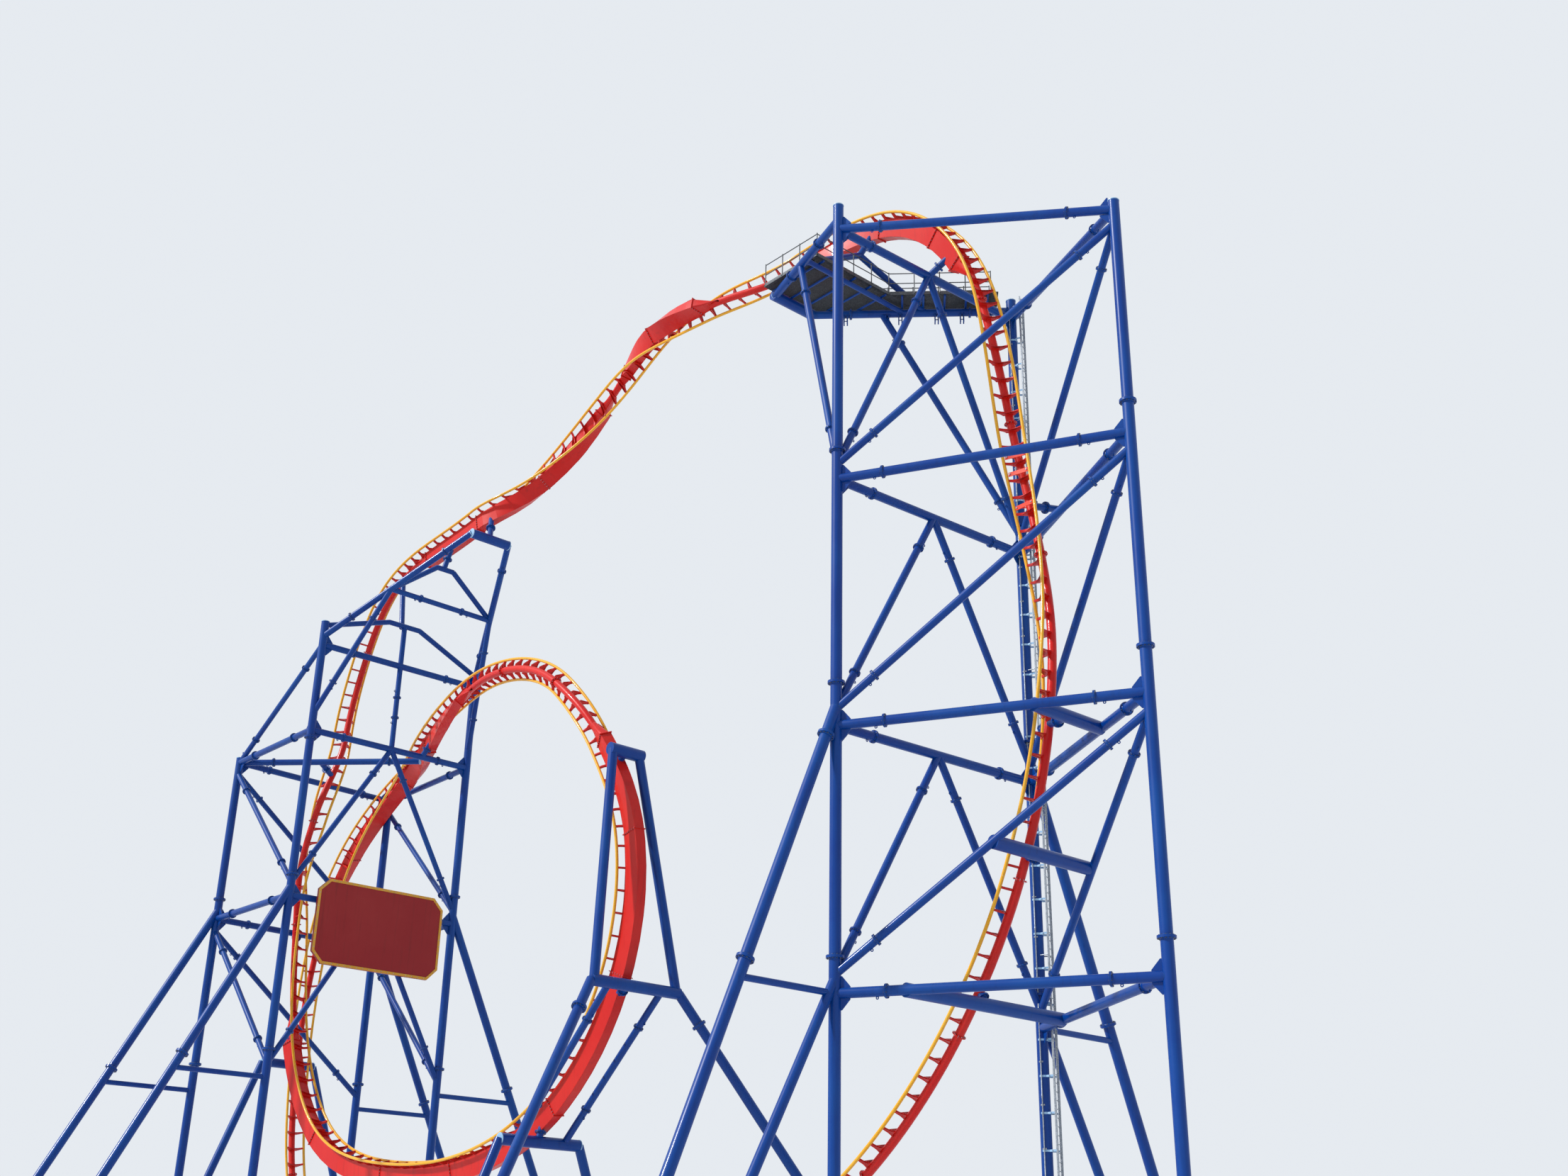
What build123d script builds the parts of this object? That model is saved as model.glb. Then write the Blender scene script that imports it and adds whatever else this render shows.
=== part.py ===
"""1:10 scale model of a launched steel roller coaster, from the floor up, in millimetres.

+X runs along the launch, from the left tower to the right tower, and +Z is up.
The track is set out along its heart line, the line that the riders' hearts follow.
"""
import math
import os

from build123d import *

# Track: the rails, the spine under them and the ties between.
GAUGE = 100.0
RAIL_RADIUS = 6.5
HEART_HEIGHT = 103.0
SPINE_TOP_DROP = 21.0
SPINE_RADIUS = 16.5
BOX_WIDTH = 46.0
BOX_DEPTH = 80.0
TIE_PITCH = 77.5
TIE_THICKNESS = 9.0
TIE_RAIL_HEIGHT = 9.0
TIE_DIP = 17.0
TIE_SHOULDER = 22.0
TIE_SHOULDER_DIP = 13.0
TIE_ARM = 6.5
TIE_ARM_RISE = -34.0
FLANGE_THICKNESS = 3.0
FLANGE_LIP = 9.0
BOX_FLANGE_LIP = 5.0

# Plan and heights of the track's main runs.
TRACK_Y = 0.0
DROP_Y = -320.0
CLIMB_X = 2330.0
GROUND_HEART = 360.0
PULL_UP_RADIUS = 2020.0
LAUNCH_PANEL = 10 * TIE_PITCH
CREST_HEART = 4700.0
DROP_X = -2180.0
VALLEY_HEART = 880.0
LOOP_RIGHT_X = 385.0
LOOP_CREST_HEART = 3115.0
LOOP_LEFT_X = -2725.0

# Right tower: three columns.
COLUMN_RADIUS = 21.0
BEAM_RADIUS = 17.5
BRACE_RADIUS = 14.5
SMALL_BRACE_RADIUS = 11.5
CROSS_TUBE_RADIUS = 24.0
BRACKET_RADIUS = 14.0
COLUMN_FLANGE_LIP = 10.0
COLUMN_FLANGE_HEIGHT = 9.0
FRONT_COLUMN = (1935.0, -503.0)
OUTER_COLUMN = (2918.0, -22.0)
REAR_COLUMN = (1975.0, 505.0)
FRONT_COLUMN_TOP = 4278.0
OUTER_COLUMN_TOP = 4026.0
REAR_COLUMN_TOP = 4260.0
BASE_LEVEL = 1150.0
LOW_LEVEL = 2079.0
MID_LEVEL = 3048.0
TOP_LEVEL = 4166.0
OUTER_TOP_LEVEL = 3988.0
BRACE_STEP = 62.0
LEG_SLOPE = 0.42
SHORT_LEG_SLOPE = 0.54
LONG_LEG_HEAD = 2150.0
SHORT_LEG_HEAD = 1200.0
LOW_CROSS_X = 2570.0
MIDDLE_CROSS_X = 2430.0
BASE_CROSS_X = 2155.0

# Left tower: four columns.
LEFT_COLUMN_RADIUS = 20.0
LEFT_BEAM_RADIUS = 16.0
LEFT_BRACE_RADIUS = 13.5
LEFT_WEST_X = -2320.0
LEFT_EAST_X = -1540.0
LEFT_FRONT_Y = -780.0
LEFT_REAR_Y = 125.0
LEFT_TOP = 3340.0
LEFT_BEAM_TOP = 3275.0
LEFT_LEVEL = 2820.0
LEFT_LOW_LEVEL = 1990.0
LEFT_BASE_LEVEL = 1145.0
LEFT_LEG_SLOPE = 0.5
LEFT_LEG_HEAD = 2030.0
TOP_FRAME_X = -800.0
TOP_FRAME_LEVEL = 3770.0
ARCH_LEVEL = 3500.0
UPPER_ARCH_SHARE = 0.46
UPPER_ARCH_LEVEL = 3725.0
KNEE_LEVEL = 2907.0

# Loop support, feet and fits.
LOOP_FRAME_TOP = 2340.0
LOOP_FRAME_MID = 1370.0
LOOP_FRAME_LOW = 806.0
LOOP_HEAD_X = 500.0
LOOP_HEAD_Y = -345.0
LOOP_HEAD_HALF = 85.0
LOOP_BAR_X = 550.0
LOOP_HEAD_RADIUS = 27.0
LOOP_LOW_X = 0.0
LOOP_LEG_SPREAD = 0.66
LOOP_LEG_LEAN = 0.34
LOOP_LOW_LEG_SPREAD = 0.4
PULL_OUT_BAR_X = -2900.0
PULL_OUT_BAR_LEVEL = 1400.0
PULL_OUT_BAR_HALF = 150.0
PULL_OUT_LEG_SPREAD = 0.36
BASE_PLATE_RADIUS = 48.0
BASE_PLATE_HEIGHT = 6.0
CLEARANCE = 0.3
TIE_GAP = 0.8
POST_RADIUS = 12.0

# Service platform under the crest: an outer tube, an arm to the front column, a long tube to the
# rear column, and a portal over both that carries the spine.
PLATFORM_LEVEL = 4208.0
OUTER_TUBE_X = 1355.0
OUTER_TUBE_FRONT_Y = -330.0
OUTER_TUBE_REAR_Y = -98.0
ARM_END_Y = -318.0
ARM_LEG_SHARE = 0.54
ARM_BRACE_SHARE = 0.58
REAR_BRACE_SHARE = 0.35
REAR_LEG_SHARE = 0.57
PORTAL_HEAD = (1590.0, -40.0, 4430.0)
STRINGER_X = 1640.0
DECK_EDGE_X = 1345.0
DECK_NEAR_X = 1675.0
DECK_FRONT_Y = -375.0
WALKWAY_WIDTH = 113.0
WALKWAY_SHELF = 10.0
WALKWAY_END_SHARE = 0.93
DECK_THICKNESS = 6.0
LEG_HOLE_GAP = 4.0
BEARER_RADIUS = 5.0
BEARER_PITCH = 92.0
HANDRAIL_HEIGHT = 105.0
HANDRAIL_RADIUS = 2.4
HANDRAIL_BAY = 105.0
HANDRAIL_INSET = 4.0

# Ladder on the rear column.
LADDER_TURN = 20.0
LADDER_WIDTH = 42.0
LADDER_STANDOFF = 26.0
LADDER_FOOT = 250.0
STRINGER_RADIUS = 2.6
STAY_RADIUS = 2.2
STAY_COUNT = 8

# Plain board on the left tower.
BOARD_WIDTH = 690.0
BOARD_HEIGHT = 410.0
BOARD_TOP = 2090.0
BOARD_CORNER = 55.0
BOARD_STUB_SHARE = 0.5
BOARD_THICKNESS = 14.0
BOARD_STANDOFF = 24.0
BOARD_SHIFT = 15.0


def arc_x(z_from_bottom, radius):
    """How far a quarter turn of this radius has come when it is this high."""
    return math.sqrt(max(0.0, radius ** 2 - (radius - z_from_bottom) ** 2))


def pull_up(height):
    """A way-point on the quarter turn from the launch into the climb."""
    return (CLIMB_X - PULL_UP_RADIUS + arc_x(height, PULL_UP_RADIUS), TRACK_Y, GROUND_HEART + height)


# Heart line way-points: x, y, z and the roll in degrees. Roll 0 has the rails on the inside of a
# valley, 180 has them on the outside of a crest.
WAY_POINTS = [
    (-1900.0, TRACK_Y, GROUND_HEART, 0.0),
    (CLIMB_X - PULL_UP_RADIUS - 2 * LAUNCH_PANEL, TRACK_Y, GROUND_HEART, 0.0),
    (CLIMB_X - PULL_UP_RADIUS - LAUNCH_PANEL, TRACK_Y, GROUND_HEART, 0.0),
    (CLIMB_X - PULL_UP_RADIUS, TRACK_Y, GROUND_HEART, 0.0),
    (*pull_up(95.0), 0.0),
    (*pull_up(380.0), 0.0),
    (*pull_up(790.0), 1.0),
    (*pull_up(1250.0), 7.0),
    (CLIMB_X - 15.0, TRACK_Y, GROUND_HEART + 1830.0, 27.0),
    (CLIMB_X, TRACK_Y, GROUND_HEART + 2440.0, 73.0),
    (CLIMB_X, TRACK_Y, GROUND_HEART + 3030.0, 119.0),
    (CLIMB_X - 5.0, TRACK_Y, CREST_HEART - 720.0, 160.0),
    (CLIMB_X - 90.0, TRACK_Y, CREST_HEART - 455.0, 168.0),
    (CLIMB_X - 225.0, TRACK_Y, CREST_HEART - 250.0, 172.0),
    (CLIMB_X - 615.0, TRACK_Y, CREST_HEART, 174.0),
    (CLIMB_X - 1130.0, TRACK_Y - 27.0, CREST_HEART - 38.0, 190.0),
    (705.0, -67.0, CREST_HEART - 223.0, 272.0),
    (345.0, -101.0, CREST_HEART - 314.0, 325.0),
    (28.0, -148.0, CREST_HEART - 360.0, 379.0),
    (-210.0, -190.0, CREST_HEART - 395.0, 420.0),
    (-645.0, -257.0, CREST_HEART - 507.0, 486.0),
    (-995.0, -285.0, CREST_HEART - 620.0, 538.0),
    (-1445.0, -307.0, CREST_HEART - 680.0, 534.0),
    (-1800.0, DROP_Y, CREST_HEART - 790.0, 530.0),
    (DROP_X + 75.0, DROP_Y, 3535.0, 530.0),
    (DROP_X - 25.0, DROP_Y, 3000.0, 541.0),
    (DROP_X + 40.0, DROP_Y + 15.0, 2520.0, 608.0),
    (DROP_X + 70.0, DROP_Y + 15.0, 2010.0, 682.0),
    (DROP_X + 155.0, DROP_Y, VALLEY_HEART + 580.0, 708.0),
    (DROP_X + 425.0, DROP_Y, VALLEY_HEART + 185.0, 719.0),
    (-1195.0, DROP_Y, VALLEY_HEART + 10.0, 726.0),
    (-660.0, DROP_Y, VALLEY_HEART, 732.0),
    (LOOP_RIGHT_X - 405.0, -310.0, VALLEY_HEART + 195.0, 728.0),
    (LOOP_RIGHT_X - 65.0, -305.0, VALLEY_HEART + 610.0, 726.0),
    (LOOP_RIGHT_X, -305.0, VALLEY_HEART + 1085.0, 716.0),
    (LOOP_RIGHT_X - 160.0, -282.0, LOOP_CREST_HEART - 755.0, 693.0),
    (LOOP_RIGHT_X - 385.0, -256.0, LOOP_CREST_HEART - 370.0, 640.0),
    (LOOP_RIGHT_X - 870.0, -214.0, LOOP_CREST_HEART - 95.0, 608.0),
    (LOOP_RIGHT_X - 1355.0, -176.0, LOOP_CREST_HEART, 574.0),
    (LOOP_LEFT_X + 1145.0, -140.0, LOOP_CREST_HEART - 65.0, 528.0),
    (LOOP_LEFT_X + 660.0, -84.0, LOOP_CREST_HEART - 205.0, 481.0),
    (LOOP_LEFT_X + 140.0, -50.0, 2480.0, 428.0),
    (LOOP_LEFT_X, -14.0, 2090.0, 395.0),
    (LOOP_LEFT_X + 40.0, TRACK_Y, 1410.0, 366.0),
    (LOOP_LEFT_X + 160.0, TRACK_Y, GROUND_HEART + 510.0, 361.0),
    (LOOP_LEFT_X + 440.0, TRACK_Y, GROUND_HEART + 130.0, 360.0),
    (-1900.0, TRACK_Y, GROUND_HEART, 360.0),
]
SPAN_COUNT = len(WAY_POINTS) - 1
ROUND, BOX = "round", "box"

BOX_SPANS = (12, 13, 14, 16, 17, 19, 20, 21, *range(28, 35), *range(38, 42))
STRAIGHT_SPANS = (0, 1, 2)
SMOOTHING_TURNS = 60

# Each track section: its name and its spans, where span 0 starts at way-point 0.
SECTIONS = [
    ("launch", (*range(42, 46), *range(0, 3))),
    ("climb", range(3, 12)),
    ("crest", range(12, 15)),
    ("roll", range(15, 22)),
    ("drop", range(22, 28)),
    ("valley", range(28, 34)),
    ("loop", range(34, 42)),
]


def knots():
    total, out = 0.0, [0.0]
    for a, b in zip(WAY_POINTS, WAY_POINTS[1:]):
        total += (Vector(*b[:3]) - Vector(*a[:3])).length
        out.append(total)
    return out


KNOTS = knots()


def around(index, column):
    """Lengths before and after a way-point on the closed circuit, and one column's slopes over them."""
    before = KNOTS[index] - KNOTS[index - 1] if index > 0 else KNOTS[-1] - KNOTS[-2]
    after = KNOTS[index + 1] - KNOTS[index]
    a = WAY_POINTS[index - 1 if index > 0 else SPAN_COUNT - 1][column]
    b, c = WAY_POINTS[index][column], WAY_POINTS[index + 1][column]
    if index == 0:
        a += b - WAY_POINTS[SPAN_COUNT][column]
    return before, after, (b - a) / before, (c - b) / after


def place_slopes(column):
    """Slopes that leave no jump in curvature at a way-point, found by going round again and again."""
    out = [0.0] * SPAN_COUNT
    for turn in range(SMOOTHING_TURNS):
        for k in range(SPAN_COUNT):
            before, after, low, high = around(k, column)
            if k - 1 in STRAIGHT_SPANS:
                out[k] = low
            elif k in STRAIGHT_SPANS:
                out[k] = high
            else:
                pull = after * out[k - 1] + before * out[(k + 1) % SPAN_COUNT]
                out[k] = (3 * (after * low + before * high) - pull) / (2 * (before + after))
    return out + out[:1]


def roll_slopes(column=3):
    """Slopes that never let the roll run past the way-points on either side."""
    out = []
    for k in range(SPAN_COUNT):
        before, after, low, high = around(k, column)
        out.append(0.0 if low * high <= 0 else 2 * low * high / (low + high))
    return out + out[:1]


SLOPES = [place_slopes(0), place_slopes(1), place_slopes(2), roll_slopes()]


def along(span, share, column):
    """Value and slope of one column of the way-points, part of the way along a span."""
    h = KNOTS[span + 1] - KNOTS[span]
    a, b = WAY_POINTS[span][column], WAY_POINTS[span + 1][column]
    m, n = SLOPES[column][span] * h, SLOPES[column][span + 1] * h
    t = share
    value = (2 * t**3 - 3 * t**2 + 1) * a + (t**3 - 2 * t**2 + t) * m
    value += (-2 * t**3 + 3 * t**2) * b + (t**3 - t**2) * n
    rise = (6 * t**2 - 6 * t) * a + (3 * t**2 - 4 * t + 1) * m + (6 * t - 6 * t**2) * b
    rise += (3 * t**2 - 2 * t) * n
    return value, rise / h


def frame_at(span, share):
    """Heart point, forward, up and side of the track at one place."""
    columns = [along(span, share, k) for k in range(3)]
    heart = Vector(*[c[0] for c in columns])
    forward = Vector(*[c[1] for c in columns]).normalized()
    roll = math.radians(along(span, share, 3)[0])
    inward = Vector(-forward.Z, 0, forward.X).normalized()
    across = inward.cross(forward)
    up = inward * math.cos(roll) - across * math.sin(roll)
    return heart, forward, up, forward.cross(up)


def path_frame(span, share, rise):
    """Point, way, up and square side of the line that runs this high over the rail plane."""
    heart, forward, up, across = frame_at(span, share)
    step = 0.002
    point = heart + up * (rise - HEART_HEIGHT)
    ahead, behind = offset_point(span, share + step, 0.0, rise), offset_point(span, share - step, 0.0, rise)
    way = (ahead - behind).normalized()
    return point, way, up, way.cross(up)


def span_length(span, steps=12):
    points = [frame_at(span, k / steps)[0] for k in range(steps + 1)]
    return sum((b - a).length for a, b in zip(points, points[1:]))


SPAN_LENGTHS = [span_length(k) for k in range(SPAN_COUNT)]


def offset_point(span, share, side, rise):
    """A point beside the heart line: side to the right rail's side, rise above the rail plane."""
    heart, forward, up, across = frame_at(span, share)
    return heart + across * side + up * (rise - HEART_HEIGHT)


def tie_count(span):
    return max(1, round(SPAN_LENGTHS[span] / TIE_PITCH))


def tie_shares(span):
    """Where the ties stand along a span, evenly spaced and clear of its joints."""
    return [(k + 0.5) / tie_count(span) for k in range(tie_count(span))]


def speed(span, share, side, rise):
    """How fast a line beside the heart line runs, in length for each unit of share."""
    step = 0.002
    ahead = offset_point(span, share + step, side, rise)
    return (ahead - offset_point(span, share - step, side, rise)).length / (2 * step)


def shares(span, lines, end_gap):
    """Stations along one span: its ties, and both ends, short of the joints by the gap or more."""
    first, last = (end_gap / min(speed(span, end, *line) for line in lines) for end in (0.0, 1.0))
    return [first, *tie_shares(span), 1 - last]


def halves(span, stations):
    """A straight span's stations as one run, and a curved span's as two that meet halfway."""
    if span in STRAIGHT_SPANS:
        return [stations]
    return [[s for s in stations if s < 0.5] + [0.5], [0.5] + [s for s in stations if s > 0.5]]


def swept_round(span, side, rise, radius, end_gap):
    """Round bars along one span of track."""
    small, bars = 0.002, []
    for run in halves(span, shares(span, [(side, rise)], end_gap)):
        points = [offset_point(span, s, side, rise) for s in run]
        if span in STRAIGHT_SPANS:
            bars.append(bar(points[0], points[-1], radius))
            continue
        ways = []
        for s in (run[0], run[-1]):
            ahead = offset_point(span, s + small, side, rise)
            ways.append((ahead - offset_point(span, s - small, side, rise)).normalized())
        ring = Wire.make_circle(radius, Plane(origin=points[0], z_dir=ways[0]))
        bars.append(Solid.sweep(Face(ring), Edge.make_spline(points, tangents=ways)))
    return bars


def lofted_box(span, width, top, depth, end_gap):
    """Box girders along one span, turned with the track."""
    boxes, a, b = [], width / 2, depth / 2
    edges = [(side, rise) for side in (-a, a) for rise in (top, top - depth)]
    for run in halves(span, shares(span, edges, end_gap)):
        outlines = []
        for s in run:
            point, way, up, across = path_frame(span, s, top - b)
            corners = [point + across * p + up * q for p, q in ((-a, b), (a, b), (a, -b), (-a, -b))]
            outlines.append(Wire.make_polygon(corners, close=True))
        boxes.append(Solid.make_loft(outlines, ruled=True))
    return boxes


def tie(span, share):
    """A tie plate across the track, drawn out along the way of the spine's top."""
    across = frame_at(span, share)[3]
    up = path_frame(span, share, 0.0)[2]
    way = path_frame(span, share, -SPINE_TOP_DROP)[1]
    start = offset_point(span, share, 0.0, 0.0) - way * (TIE_THICKNESS / 2)
    outline = [start + across * a + up * b for a, b in tie_outline(spine_form(span))]
    return Solid.extrude(Face(Wire.make_polygon(outline, close=True)), way * TIE_THICKNESS)


def spine_form(span):
    return BOX if span % SPAN_COUNT in BOX_SPANS else ROUND


def spine_middle(form):
    """Rise of the spine's middle from the rail plane."""
    return -SPINE_TOP_DROP - (SPINE_RADIUS if form == ROUND else BOX_DEPTH / 2)


def tie_outline(form):
    """Half of a tie plate from its middle to the rail and down to the spine, and its mirror image."""
    rail = GAUGE / 2 - RAIL_RADIUS - TIE_GAP
    half = TIE_RAIL_HEIGHT / 2
    top = [(0.0, half - TIE_DIP), (TIE_SHOULDER, half - TIE_SHOULDER_DIP), (rail, half), (rail, -half)]
    if form == BOX:
        right = top + [(BOX_WIDTH / 2, -SPINE_TOP_DROP + TIE_GAP)]
    else:
        seat = SPINE_RADIUS + TIE_GAP
        corner = seat * math.tan(math.radians(22.5))
        middle = spine_middle(form)
        right = top + [(seat + TIE_ARM, TIE_ARM_RISE), (seat, TIE_ARM_RISE), (seat, middle + corner)]
        right.append((corner, middle + seat))
    return right + [(-side, rise) for side, rise in reversed(right[1:])]


# Straight tubes are kept in one list, so that each can be fitted against those before it.
TUBES = []


def tube(node, start, end, radius):
    TUBES.append((node, Vector(*start), Vector(*end), radius))


def gap_between(a, b, c, d):
    """Shortest distance between the middle lines of two straight tubes."""
    u, v, w = b - a, d - c, a - c
    uu, uv, vv, uw, vw = u.dot(u), u.dot(v), v.dot(v), u.dot(w), v.dot(w)
    det = uu * vv - uv * uv
    s = max(0.0, min(1.0, (uv * vw - vv * uw) / det)) if det > 1e-6 else 0.0
    t = max(0.0, min(1.0, (uv * s + vw) / vv))
    s = max(0.0, min(1.0, (uv * t - uw) / uu))
    return (w + u * s - v * t).length


def bar(start, end, radius):
    way = end - start
    return Solid.make_cylinder(radius, way.length, Plane(origin=start, z_dir=way.normalized()))


def fitted_tubes():
    """Every tube, coped to the tubes already standing so that nothing overlaps."""
    made, solids = [], {}
    for node, start, end, radius in TUBES:
        solid = bar(start, end, radius)
        whole = solid.volume
        pieces = [solid]
        if end.Z < 0:
            pieces = solid.cut(floor_slab()).solids()
        for c, d, other in made:
            if gap_between(start, end, c, d) < radius + other + CLEARANCE:
                cutter = bar(c, d, other + CLEARANCE)
                pieces = [s for p in pieces for s in (p.cut(cutter)).solids()]
        made.append((start, end, radius))
        solids.setdefault(node, []).extend(p for p in pieces if p.volume > 0.08 * whole)
    return solids


def at(column, height):
    return (column[0], column[1], height)


def toward(a, b, share):
    return tuple(p + (q - p) * share for p, q in zip(a, b))


def standing(node, place, top, radius, joints):
    """A column from the floor, with a ring flange at each joint and a base plate."""
    foot(node, place)
    low = BASE_PLATE_HEIGHT + CLEARANCE
    half = COLUMN_FLANGE_HEIGHT / 2
    for height in joints:
        tube(node, at(place, low), at(place, height - half - CLEARANCE), radius)
        tube(node, at(place, height - half), at(place, height + half), radius + COLUMN_FLANGE_LIP)
        low = height + half + CLEARANCE
    tube(node, at(place, low), at(place, top), radius)


def foot(node, place):
    tube(node, at(place, 0.0), at(place, BASE_PLATE_HEIGHT), BASE_PLATE_RADIUS)


def leg(node, head, lean_y, radius, joints=(), lean_x=0.0):
    """A raking tube from its head down to the floor, which leans so much for each unit of drop."""
    def on(height):
        drop = head[2] - height
        return (head[0] + lean_x * drop, head[1] + lean_y * drop, height)

    foot(node, on(BASE_PLATE_HEIGHT))
    high = head[2]
    half = COLUMN_FLANGE_HEIGHT / 2
    for height in joints:
        tube(node, on(high), on(height + half + CLEARANCE), radius)
        tube(node, on(height + half), on(height - half), radius + COLUMN_FLANGE_LIP)
        high = height - half - CLEARANCE
    tube(node, on(high), on(-radius), radius)
    return on


def floor_slab():
    """What cuts the foot of a raking tube flat, just over its base plate."""
    size = 20000.0
    top = BASE_PLATE_HEIGHT + CLEARANCE
    return Solid.make_box(size, size, size, Plane((-size / 2, -size / 2, top - size)))


# Brackets between a tube and the spine: node, start, seat on the spine, its span, and the radius.
BRACKETS = []


def bracket(node, start, spans, radius=BRACKET_RADIUS):
    span, seat = spine_seat(Vector(*start), spans)
    BRACKETS.append((node, Vector(*start), seat, span, radius))


def stand(node, place, spans, radius):
    """An upright post from a base plate on the floor to the spine over it."""
    span, seat = spine_seat(Vector(*place, 0.0), spans)
    foot(node, (seat.X, seat.Y))
    start = Vector(seat.X, seat.Y, BASE_PLATE_HEIGHT + CLEARANCE)
    BRACKETS.append((node, start, seat, span, radius))


def spine_seat(start, spans):
    """The place on the spine's middle line nearest to a point, midway between two ties."""
    best = None
    for span in spans:
        for k in range(1, tie_count(span)):
            spot = offset_point(span, k / tie_count(span), 0.0, spine_middle(spine_form(span)))
            distance = (spot - start).length
            if best is None or distance < best[0]:
                best = (distance, span, spot)
    return best[1], best[2]


def spine_bar(span, extra, end_gap):
    if spine_form(span) == ROUND:
        return swept_round(span, 0.0, -SPINE_TOP_DROP - SPINE_RADIUS, SPINE_RADIUS + extra, end_gap)
    return lofted_box(span, BOX_WIDTH + 2 * extra, -SPINE_TOP_DROP + extra, BOX_DEPTH + 2 * extra, end_gap)


def right_tower():
    a, b, c = FRONT_COLUMN, OUTER_COLUMN, REAR_COLUMN
    standing("right_front_column", a, FRONT_COLUMN_TOP, COLUMN_RADIUS, [1270.0, 2240.0, 3170.0])
    standing("right_outer_column", b, OUTER_COLUMN_TOP, COLUMN_RADIUS, [1270.0, 2240.0, 3170.0])
    standing("right_rear_column", c, REAR_COLUMN_TOP, COLUMN_RADIUS, [1270.0, 2240.0, 3170.0])
    faces = [("right_front_bracing", a), ("right_rear_bracing", c)]
    for node, side in faces:
        for level in (BASE_LEVEL, LOW_LEVEL, MID_LEVEL):
            tube(node, at(side, level), at(b, level), BEAM_RADIUS)
        tube(node, at(side, TOP_LEVEL), at(b, OUTER_TOP_LEVEL), BEAM_RADIUS)
        heads = [OUTER_TOP_LEVEL, MID_LEVEL, LOW_LEVEL]
        toes = [MID_LEVEL, LOW_LEVEL, BASE_LEVEL]
        for head, toe in zip(heads, toes):
            tube(node, at(b, head - BRACE_STEP), at(side, toe + BRACE_STEP), BRACE_RADIUS)
    node = "right_side_bracing"
    levels = [TOP_LEVEL, MID_LEVEL, LOW_LEVEL, BASE_LEVEL]
    for level in levels[:3]:
        tube(node, at(a, level), at(c, level), BEAM_RADIUS)
    for head, toe in zip(levels, levels[1:]):
        middle = toward(at(a, head), at(c, head), 0.5)
        for side in (a, c):
            tube(node, middle, at(side, toe + BRACE_STEP), BRACE_RADIUS)
    for node, side, way in (("right_front_legs", a, -1), ("right_rear_legs", c, 1)):
        on = leg(node, at(side, LONG_LEG_HEAD), way * LEG_SLOPE, COLUMN_RADIUS, [2035.0, 1210.0])
        leg(node, at(side, SHORT_LEG_HEAD), way * SHORT_LEG_SLOPE, BEAM_RADIUS, [])
        tube(node, at(side, BASE_LEVEL), on(BASE_LEVEL), SMALL_BRACE_RADIUS)


def point_on(face_a, face_b, x, level):
    """The point over a tower face where x has the given value."""
    share = (x - face_a[0]) / (face_b[0] - face_a[0])
    return at(toward(face_a, face_b, share), level)


def right_track_tubes():
    a, b, c = FRONT_COLUMN, OUTER_COLUMN, REAR_COLUMN
    node = "right_cross_tubes"
    for x, level, spans in ((LOW_CROSS_X, LOW_LEVEL, (7, 8)), (BASE_CROSS_X, BASE_LEVEL, (5, 6))):
        front, rear = point_on(a, b, x, level), point_on(c, b, x, level)
        tube(node, front, rear, CROSS_TUBE_RADIUS)
        bracket(node, toward(front, rear, 0.5), spans)
    head, toe = LOW_LEVEL - BRACE_STEP, BASE_LEVEL + BRACE_STEP
    share = (b[0] - MIDDLE_CROSS_X) / (b[0] - a[0])
    level = head + (toe - head) * share
    front, rear = point_on(a, b, MIDDLE_CROSS_X, level), point_on(c, b, MIDDLE_CROSS_X, level)
    tube(node, front, rear, CROSS_TUBE_RADIUS)
    bracket(node, toward(front, rear, 0.5), (6, 7))
    bracket(node, point_on(c, b, CLIMB_X + 20.0, MID_LEVEL), (9, 10))
    bracket(node, toward(at(a, TOP_LEVEL), at(c, TOP_LEVEL), 0.5), (12, 13))


def platform_corner():
    return (OUTER_TUBE_X, OUTER_TUBE_REAR_Y, PLATFORM_LEVEL)


def beside_walkway(share, offset):
    """A plan point over the platform's long rear tube, this far to its near side."""
    start, end = platform_corner()[:2], REAR_COLUMN
    length = math.dist(start, end)
    square = ((end[1] - start[1]) / length, (start[0] - end[0]) / length)
    point = toward(start, end, share)
    return (point[0] + square[0] * offset, point[1] + square[1] * offset)


def walkway_share(x, offset):
    """How far along the rear tube a line beside it reaches this x."""
    first, last = beside_walkway(0.0, offset)[0], beside_walkway(1.0, offset)[0]
    return (x - first) / (last - first)


def portal_legs():
    arm_end = (OUTER_TUBE_X, ARM_END_Y, PLATFORM_LEVEL)
    front = toward(at(FRONT_COLUMN, PLATFORM_LEVEL), arm_end, ARM_LEG_SHARE)
    rear = toward(platform_corner(), at(REAR_COLUMN, PLATFORM_LEVEL), REAR_LEG_SHARE)
    return [(front, PORTAL_HEAD), (rear, PORTAL_HEAD)]


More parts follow.
